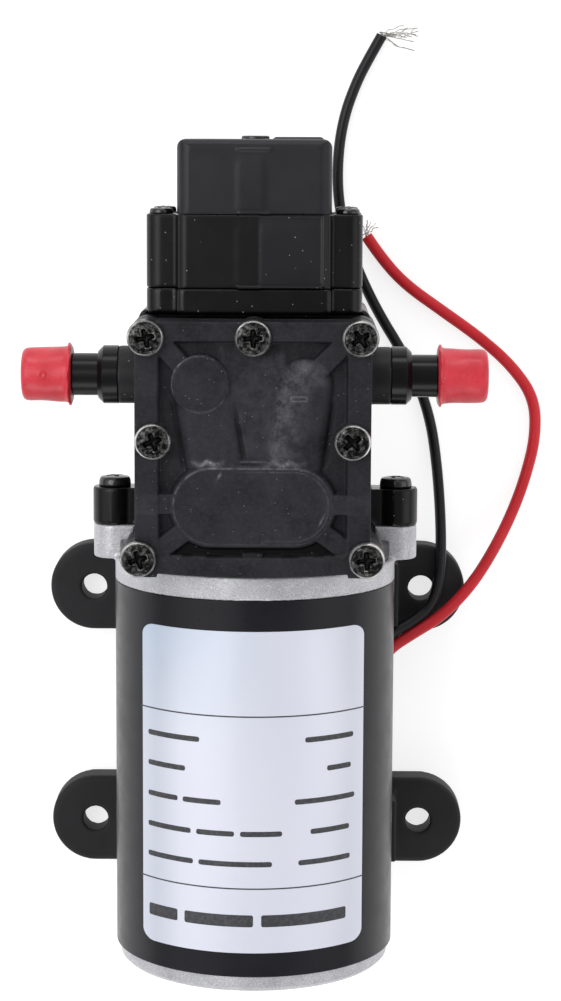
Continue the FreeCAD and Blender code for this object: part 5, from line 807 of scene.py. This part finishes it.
def build_cover():
    mesh = remeshed(outline_prism(COVER_BOTTOM, COVER_TOP), 0.21 * MM, 2)
    spots = coordinates(mesh)
    x, y, z = spots.T
    height, forms = cover_relief(x, y)
    marks = {
        "wear_and_highlight": cover_wear_and_highlight(x, y, forms),
        "haze_and_highlight": cover_haze_and_highlight(x, y, forms),
        "deep": cover_painted_shade(height, forms),
    }
    rise = cover_under(x, y) - COVER_BOTTOM
    upper = share(z - COVER_BOTTOM - 3.4, 0.4) * share(z - COVER_TOP + 0.25, 0.1)
    lower = share(COVER_BOTTOM + 0.25 - z, 0.1)
    bow = 0.65 * share(np.abs(x), 17) ** 2 * share(40 - y, 3) * (np.abs(x) < 17.4)
    spots[:, 2] = z + (height - COVER_TOP) * upper + rise * lower
    spots[:, 1] = y + bow
    set_coordinates(mesh, spots)
    for name, values in marks.items():
        mark_points(mesh, name, values * upper)
    made = add("front_cover_skin", mesh, "pump", "black_plastic", "cover_plastic")
    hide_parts("front_cover")


# Pressure switch

SWITCH_BOX = ((-14.2, 88.0, 33.0), (14.2, 102.1, SWITCH_TOP))
CAP_BOX = ((-14.2, 95.0, 33.0), (14.2, 115.75, SWITCH_TOP))


def trim_box(item, box, radii):
    """Rounds a box's edges: radii for the edges along Y, X and Z, in that order.

    Points near the box's edges move onto the rounded corner, and what stands off its
    faces keeps its shape. Of the edges along X only those at the far end are rounded.
    """
    mesh = item.data
    spots = coordinates(mesh)
    low, high = np.array(box[0]), np.array(box[1])
    middle, half = (low + high) / 2, (high - low) / 2
    for (first, second), radius in zip(((0, 2), (1, 2), (0, 1)), radii):
        off = spots - middle
        u = np.abs(off[:, first]) - half[first] + radius
        v = np.abs(off[:, second]) - half[second] + radius
        out = np.hypot(u, v)
        hit = (u > 0) & (v > 0) & (out > radius) & (u < radius + 0.3) & (v < radius + 0.3)
        if first == 1:
            hit &= off[:, 1] > 0
        for axis, part in ((first, u), (second, v)):
            reach = half[axis] - radius + part * radius / np.maximum(out, 1e-9)
            moved = np.sign(off[:, axis]) * reach
            spots[:, axis] = np.where(hit, moved + middle[axis], spots[:, axis])
    set_coordinates(mesh, spots)


def low_bands(item, level, bands, reach):
    """Gives the relief on a box's top soft sides: each band is (left, right, height)."""
    mesh = item.data
    spots = coordinates(mesh)
    x, y, z = spots.T
    rise = np.zeros(len(x))
    for left, right, height in bands:
        side = share(x - left + 0.75, 1.5) * share(right - x + 0.75, 1.5)
        side = side * share(reach[1] - y, 3.0) * share(y - reach[0], 0.8)
        rise = np.maximum(rise, height * side * side * (3 - 2 * side))
    on_top = (z > level - 0.06) & (np.abs(x) < 12.4) & (y > reach[0]) & (y < reach[1])
    spots[:, 2] = np.where(on_top, level + rise, z)
    set_coordinates(mesh, spots)


def true_round(item, centre, radius, reach):
    """Moves the points near a boss's wall onto its true cylinder along Y."""
    mesh = item.data
    spots = coordinates(mesh)
    off = spots[:, (0, 2)] - np.array(centre)
    out = np.hypot(off[:, 0], off[:, 1])
    near = (np.abs(out - radius) < 0.22) & (spots[:, 1] > reach[0]) & (spots[:, 1] < reach[1])
    scale = np.where(near, radius / np.maximum(out, 1e-9), 1.0)
    spots[:, 0] = centre[0] + off[:, 0] * scale
    spots[:, 2] = centre[1] + off[:, 1] * scale
    set_coordinates(mesh, spots)


# Screws

def cross_depth(x, y, reach, half):
    """Depth share of a cross recess with flared arms and rounded inner corners."""
    u, v = np.abs(x), np.abs(y)
    long, wide = np.maximum(u, v), np.minimum(u, v)
    arm = np.minimum(half - wide + 0.10 * (reach - long), reach - long)
    heart = half * 1.75 - (u + v) * 0.72
    inside = np.maximum(arm, heart)
    return share(inside, 0.62 * half)


def pan_head(radius, height, reach, half, deep, turn, rings=34, spokes=96):
    """A pan head about Z with a cross recess; its seat is at zero."""
    out = np.repeat(radius * np.arange(1, rings + 1) / rings, spokes)
    angle = np.tile(2 * np.pi * np.arange(spokes) / spokes, rings)
    x = np.append(out * np.cos(angle), 0.0)
    y = np.append(out * np.sin(angle), 0.0)
    out = np.append(out, 0.0)
    edge = 0.17 * radius
    past = share(out - radius + edge, edge)
    cos, sin = math.cos(turn), math.sin(turn)
    lobe = cross_depth(x * cos + y * sin, y * cos - x * sin, reach, half)
    bowl = 0.35 + 0.65 * np.clip(1 - (out / reach) ** 2, 0, 1)
    z = height * (0.84 - 0.60 * (1 - np.sqrt(1 - past**2)))
    z += 0.16 * height * (1 - (out / radius) ** 2) - deep * lobe * bowl
    groove = line(out - 0.79 * radius, 0.03 * radius)
    z -= 0.04 * height * groove
    verts = np.stack((x, y, z), axis=1).tolist()
    faces = [(rings * spokes, k, (k + 1) % spokes) for k in range(spokes)]
    for ring in range(rings - 1):
        for k in range(spokes):
            after = (k + 1) % spokes
            low = ring * spokes
            faces.append((low + k, low + spokes + k, low + spokes + after, low + after))
    last, skirt = (rings - 1) * spokes, len(verts)
    verts += [(0.985 * x[last + k], 0.985 * y[last + k], 0.0) for k in range(spokes)]
    for k in range(spokes):
        after = (k + 1) % spokes
        faces.append((last + k, skirt + k, skirt + after, last + after))
    faces.append(tuple(range(skirt + spokes - 1, skirt - 1, -1)))
    # Painted highlight: a thin ring near the rim and glints along the recess edges.
    painted_glint = line(out - 0.925 * radius, 0.040 * radius)
    lip = line(lobe - 0.30, 0.24) * (np.sin(5.0 * x / reach + 2.0 * turn) > -0.2)
    painted_glint = np.maximum(painted_glint, lip * (lobe > 0.03) * (lobe < 0.75))
    none = np.zeros(spokes)
    # The last value is painted shade in the deeper part of the recess.
    return verts, faces, np.append(painted_glint, none), np.append(np.clip(3.0 * lobe - 1.6, 0, 1), none)


def screw_group(node, heads, material):
    """All heads of one node as one piece; each head is (place, axis, turn, sizes)."""
    verts, faces, rims, pits = [], [], [], []
    for place, axis, turn, sizes in heads:
        part, sides, rim, recess_shade = pan_head(*sizes, turn)
        tilt = Vector(axis).to_track_quat("Z", "Y").to_matrix()
        start = len(verts)
        verts += [(tilt @ Vector(v) + Vector(place)) * MM for v in part]
        faces += [tuple(start + k for k in side) for side in sides]
        rims.append(rim)
        pits.append(recess_shade)
    mesh = bpy.data.meshes.new(node + "_heads")
    mesh.from_pydata(verts, [], faces)
    # Painted highlight on the rims and recess edges, and painted shade in the recesses, for the
    # material.
    mark_points(mesh, "rim", np.concatenate(rims))
    mark_points(mesh, "recess_shade", np.concatenate(pits))
    made = add(node + "_heads", mesh, body_of(node), slot_of[node], material)
    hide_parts(node)


# Each head's radius, height, recess reach, recess half width and recess depth
COVER_HEAD = (3.4, 2.1, 1.85, 0.52, 1.6)
SIDE_HEAD = (3.1, 2.1, 1.7, 0.4, 1.3)
SWITCH_HEAD = (2.2, 1.1, 1.3, 0.3, 0.7)
UP, FORWARD = (0, 0, 1), (0, 1, 0)

build_cover()
screw_group(
    "cover_screws",
    [((x, y, COVER_TOP), UP, math.radians(turn), COVER_HEAD) for x, y, turn in COVER_SCREWS],
    "screw_nickel",
)


# Moulded and cast parts with rounded edges

housing = softened("pump_housing", 0.32 * MM, 3, keep=1.0, material="housing_plastic")
for side in (-1, 1):
    true_round(housing, (BOSS_ACROSS * side, SHAFT_HIGH), 4.2, (42.6, 48.8))
body = softened("switch_body", 0.26 * MM, 3, keep=1.0, material="switch_plastic")
trim_box(body, SWITCH_BOX, (1.9, 0.4, 0.4))
low_bands(body, SWITCH_TOP, [(-3.3, 0.9, 0.05), (0.9, 13.4, 0.10)], (88.9, 101.8))
cap = softened("switch_cap", 0.24 * MM, 3, keep=1.0)
trim_box(cap, CAP_BOX, (2.6, 1.6, 1.7))
low_bands(cap, SWITCH_TOP, [(-3.2, 1.9, 0.10)], (102.4, 113.6))
softened("front_end_cover", 0.32 * MM, 3)
for foot in ("foot_front_left", "foot_front_right", "foot_rear_left", "foot_rear_right"):
    softened(foot, 0.3 * MM, 4)


screw_group(
    "flange_screws",
    [
        ((side * BOSS_ACROSS, 49.3, SHAFT_HIGH), FORWARD, turn, SIDE_HEAD)
        for side, turn in ((-1, 0.4), (1, 1.1))
    ],
    "screw_black",
)
screw_group(
    "switch_screws",
    [
        ((side * 17.2, 102.1, 44.5 + rise), FORWARD, 0.3 * side + rise, SWITCH_HEAD)
        for side in (-1, 1)
        for rise in (-6.2, 6.2)
    ],
    "screw_black",
)


# Springs


def build_spring(node, way, side=0):
    """A copy of a CAD spring, or of the one at that side; way is not used."""
    shape = bmesh.new()
    shape.from_mesh(nodes[node].data)
    other = [point for point in shape.verts if point.co.x * side < 0]
    bmesh.ops.delete(shape, geom=other, context="VERTS")
    mesh = from_bmesh(node + "_coil", shape)
    item = placed(node + {-1: "_left", 0: "_coil", 1: "_right"}[side], mesh)
    paint(item, slot_of[node])
    mesh.shade_smooth()
    spots = coordinates(mesh)
    way = np.array(way)
    middle = (spots.min(axis=0) + spots.max(axis=0)) / 2
    middle = middle - way * (middle @ way)
    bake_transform(item)
    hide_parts(node)


build_spring("brush_springs", (-1.0, 0.0, 0.0), -1)
build_spring("brush_springs", (1.0, 0.0, 0.0), 1)
build_spring("switch_spring", (0.0, 1.0, 0.0))


# Red caps

# Half sections of a cap: distance from its open end, and radius
CAP_LIP = [(0.12, 4.2), (0.0, 4.6), (0.0, 5.7), (0.12, 6.0), (0.4, 6.0), (0.6, 5.75), (0.8, 5.42)]
CAP_BODY = [(1.4, 5.24), (4.5, 5.12), (8.0, 5.05), (8.7, 4.95), (9.1, 4.72)]
CAP_END = [(9.38, 4.3), (9.5, 3.7), (9.54, 2.0), (9.56, 0.02)]
CAP_INSIDE = [(8.4, 0.02), (8.4, 4.06), (0.12, 4.06)]


def ripple(angle, phase):
    """A slow uneven wave round a rim, between about -1 and 1."""
    slow = 0.5 * np.sin(3 * angle + phase) + 0.3 * np.sin(7 * angle + 2 * phase)
    return slow + 0.2 * np.sin(13 * angle + 3 * phase)


def dense(profile, step):
    """The profile with more points along its long runs."""
    points = [profile[0]]
    for (u0, r0), (u1, r1) in zip(profile, profile[1:]):
        parts = max(1, round(math.hypot(u1 - u0, r1 - r0) / step))
        for k in range(1, parts + 1):
            points.append((u0 + (u1 - u0) * k / parts, r0 + (r1 - r0) * k / parts))
    return np.array(points)


def build_cap(node, side, phase, steps=180):
    """A dipped cap: uneven body, thin wavy lip towards the pump, soft closed end."""
    outside = dense(CAP_LIP + CAP_BODY + CAP_END, 0.16)
    inside = dense(CAP_INSIDE, 0.6)
    profile = np.concatenate((outside, inside))
    angle = 2 * np.pi * np.arange(steps) / steps
    u, turn = np.meshgrid(profile[:, 0], angle, indexing="ij")
    radius = np.repeat(profile[:, 1][:, None], steps, axis=1)
    outer = (np.arange(len(profile)) < len(outside))[:, None]
    lip = outer * share(radius - 5.1, 0.8) * share(1.2 - u, 0.8)
    uneven = 0.5 * np.sin(2 * turn + 0.7 * u + phase) + 0.5 * np.sin(5 * turn - 0.9 * u + 2 * phase)
    body = outer * share(u - 0.8, 1.5) * share(9.3 - u)
    radius = radius + 0.07 * body * uneven + lip * 0.10 * (ripple(turn, phase) - 1)
    u = u + 0.28 * lip * (1 + ripple(turn, phase + 1.7))
    across = side * (CAP_START + u)
    along = PORT_ALONG + radius * np.cos(turn)
    high = PORT_HIGH + radius * np.sin(turn)
    nub = np.hypot(u - 5.4, along - PORT_ALONG - 0.3)
    high = high + outer * (high > PORT_HIGH + 2) * 0.10 * line(nub - 0.55, 0.16)
    verts = np.stack((across, along, high), axis=2).reshape(-1, 3) * MM
    faces = []
    for ring in range(len(profile) - 1):
        for k in range(steps):
            after = (k + 1) % steps
            a, b = ring * steps, (ring + 1) * steps
            faces.append((a + k, a + after, b + after, b + k))
    last = (len(profile) - 1) * steps
    faces += [(k, last + k, last + (k + 1) % steps, (k + 1) % steps) for k in range(steps)]
    mesh = bpy.data.meshes.new(node + "_vinyl")
    mesh.from_pydata(verts.tolist(), [], faces)
    if side < 0:
        mesh.flip_normals()
    made = add(node + "_vinyl", mesh, body_of(node), slot_of[node])
    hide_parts(node)


build_cap("inlet_cap", -1, 0.4)
build_cap("outlet_cap", 1, 2.1)


# Print on the label: plain bars and two rules in place of words

LABEL_RADIUS = 27.15
# Each row's place along the motor, its height, and where its bars start and end in degrees
PRINT_ROWS = [
    (5.2, 1.0, ((-46.4, -21.3), (21.3, 44.0))),
    (-0.6, 1.0, ((-46.4, -27.5), (31.0, 42.8))),
    (-6.5, 1.0, ((-46.4, -31.0), (-28.6, -12.4), (17.1, 44.9))),
    (-12.4, 1.0, ((-46.5, -25.0), (-22.6, -7.0), (-4.6, 12.0), (23.8, 42.1))),
    (-18.2, 1.0, ((-46.5, -24.0), (-21.6, 8.0), (18.7, 42.6))),
    (-29.1, 2.3, ((-46.0, -31.1), (-27.8, 0.6), (3.8, 40.6))),
    (9.9, 0.26, ((-51.0, 51.0),)),
    (-22.9, 0.26, ((-51.0, 51.0),)),
]


def build_print():
    """Thin bars of ink on the label, each with rounded ends."""
    shape = bmesh.new()
    for middle, height, spans in PRINT_ROWS:
        for start, end in spans:
            count = max(6, int((end - start) / 1.2))
            stops = np.linspace(start, end, count)
            curve = min(0.4, height / 2)
            inset = np.degrees(curve / LABEL_RADIUS) * np.array((0.1, 0.3, 0.6))
            stops = np.unique(np.concatenate((stops, start + inset, end - inset)))
            rows = []
            for stop in stops:
                inside = math.radians(min(stop - start, end - stop)) * LABEL_RADIUS
                short = max(0.0, 1 - inside / curve)
                half = height / 2 - curve + curve * math.sqrt(max(0.0, 1 - short**2))
                turn = math.radians(stop)
                row = []
                for out, along in ((0.0, -half), (0.0, half), (0.04, half), (0.04, -half)):
                    reach = LABEL_RADIUS - 0.02 + out
                    across, high = reach * math.sin(turn), SHAFT_HIGH + reach * math.cos(turn)
                    row.append(shape.verts.new((across * MM, (middle + along) * MM, high * MM)))
                rows.append(row)
            for first, second in zip(rows, rows[1:]):
                for k in range(4):
                    after = (k + 1) % 4
                    shape.faces.new((first[k], first[after], second[after], second[k]))
            shape.faces.new(rows[0][::-1])
            shape.faces.new(rows[-1])
    bmesh.ops.recalc_face_normals(shape, faces=shape.faces)
    add("label_print", from_bmesh("label_print", shape), "pump", "label", "label_ink", smooth=False)


build_print()


# Floor, lights and camera

def to_eye(g):
    """One for the rays that show the background: to the camera, mirrored or through glass."""
    path = g.new("ShaderNodeLightPath")
    seen = g.op("MAXIMUM", path.outputs["Is Camera Ray"], path.outputs["Is Glossy Ray"])
    return g.op("MAXIMUM", seen, path.outputs["Is Transmission Ray"])


def build_floor():
    shape = bmesh.new()
    bmesh.ops.create_grid(shape, x_segments=1, y_segments=1, size=3.0)
    mesh = from_bmesh("floor", shape)
    floor = placed("floor", mesh)
    floor.location.z = -0.0002
    g = Graph("floor")
    color = g.mix(to_eye(g), (0.80, 0.80, 0.80), (0.42, 0.42, 0.42))
    glow = {"Emission_Color": (1, 1, 1, 1), "Emission_Strength": g.op("MULTIPLY", to_eye(g), 0.76)}
    mesh.materials.append(g.finish(color, 0.9, Specular_IOR_Level=0.0, **glow))


def build_light(name, at, size, power, aim=(0.0, 0.05, 0.03)):
    lamp = bpy.data.lights.new(name, "AREA")
    lamp.shape = "RECTANGLE"
    lamp.size, lamp.size_y = size
    lamp.energy = power
    item = placed(name, lamp)
    item.location = at
    item.rotation_mode = "QUATERNION"
    item.rotation_quaternion = (Vector(aim) - Vector(at)).to_track_quat("-Z", "Y")


def build_world():
    """A white tent: brightest at the upper left, dim straight above and at the horizon."""
    world = bpy.data.worlds.new("studio")
    g = Graph("studio", world)

    def glow(direction, low, high, to_low, to_high):
        """A strength that changes with the angle from a direction, between two cosines."""
        inputs = {0: g.place, 1: Vector(direction).normalized()}
        cosine = g.new("ShaderNodeVectorMath", inputs, operation="DOT_PRODUCT").outputs["Value"]
        return g.span(cosine, low, high, to_low, to_high, "SMOOTHSTEP")

    walls = glow((0, 0, 1), 0.05, 0.40, 0.38, 0.78)
    gap = glow((0, 0, 1), 0.70, 0.94, 0.0, -0.40)
    lamp = glow((-0.72, 0.12, 0.68), 0.86, 0.97, 0.0, 0.34)
    strength = g.op("ADD", g.op("ADD", walls, gap), lamp)
    g.fill(g.shader, {"Color": (1, 1, 1, 1), "Strength": strength})
    bpy.context.scene.world = world


# The camera as solved from the photograph: millimetres for the lens, metres for its place
SENSOR_WIDTH, LENS = 36.0, 92.78
CAMERA_AT = (0.00846, 0.1163, 0.5286)
CAMERA_RIGHT = (1.0, 0.0045, -0.0079)
CAMERA_BACK = (0.0072, 0.1399, 0.9901)


def build_camera():
    data = bpy.data.cameras.new("camera")
    data.sensor_width = SENSOR_WIDTH
    data.lens = LENS
    data.clip_start = 0.01
    data.clip_end = 20.0
    item = placed("camera", data)
    right = Vector(CAMERA_RIGHT).normalized()
    back = Vector(CAMERA_BACK).normalized()
    up = back.cross(right).normalized()
    right = up.cross(back)
    turn = Matrix((right, up, back)).transposed()
    item.matrix_world = Matrix.Translation(CAMERA_AT) @ turn.to_4x4()
    bpy.context.scene.camera = item


build_floor()
build_world()
build_light("key", (-0.42, 0.26, 0.84), (0.60, 0.60), 3.0)
build_light("right", (0.80, 0.12, 0.45), (0.60, 0.60), 0.8)
build_light("back", (0.0, 0.95, 0.36), (0.70, 0.25), 1.9)
build_light("front", (-0.10, -0.75, 0.55), (0.50, 0.40), 1.5)
build_camera()

scene = bpy.context.scene
scene.view_settings.view_transform = "Standard"
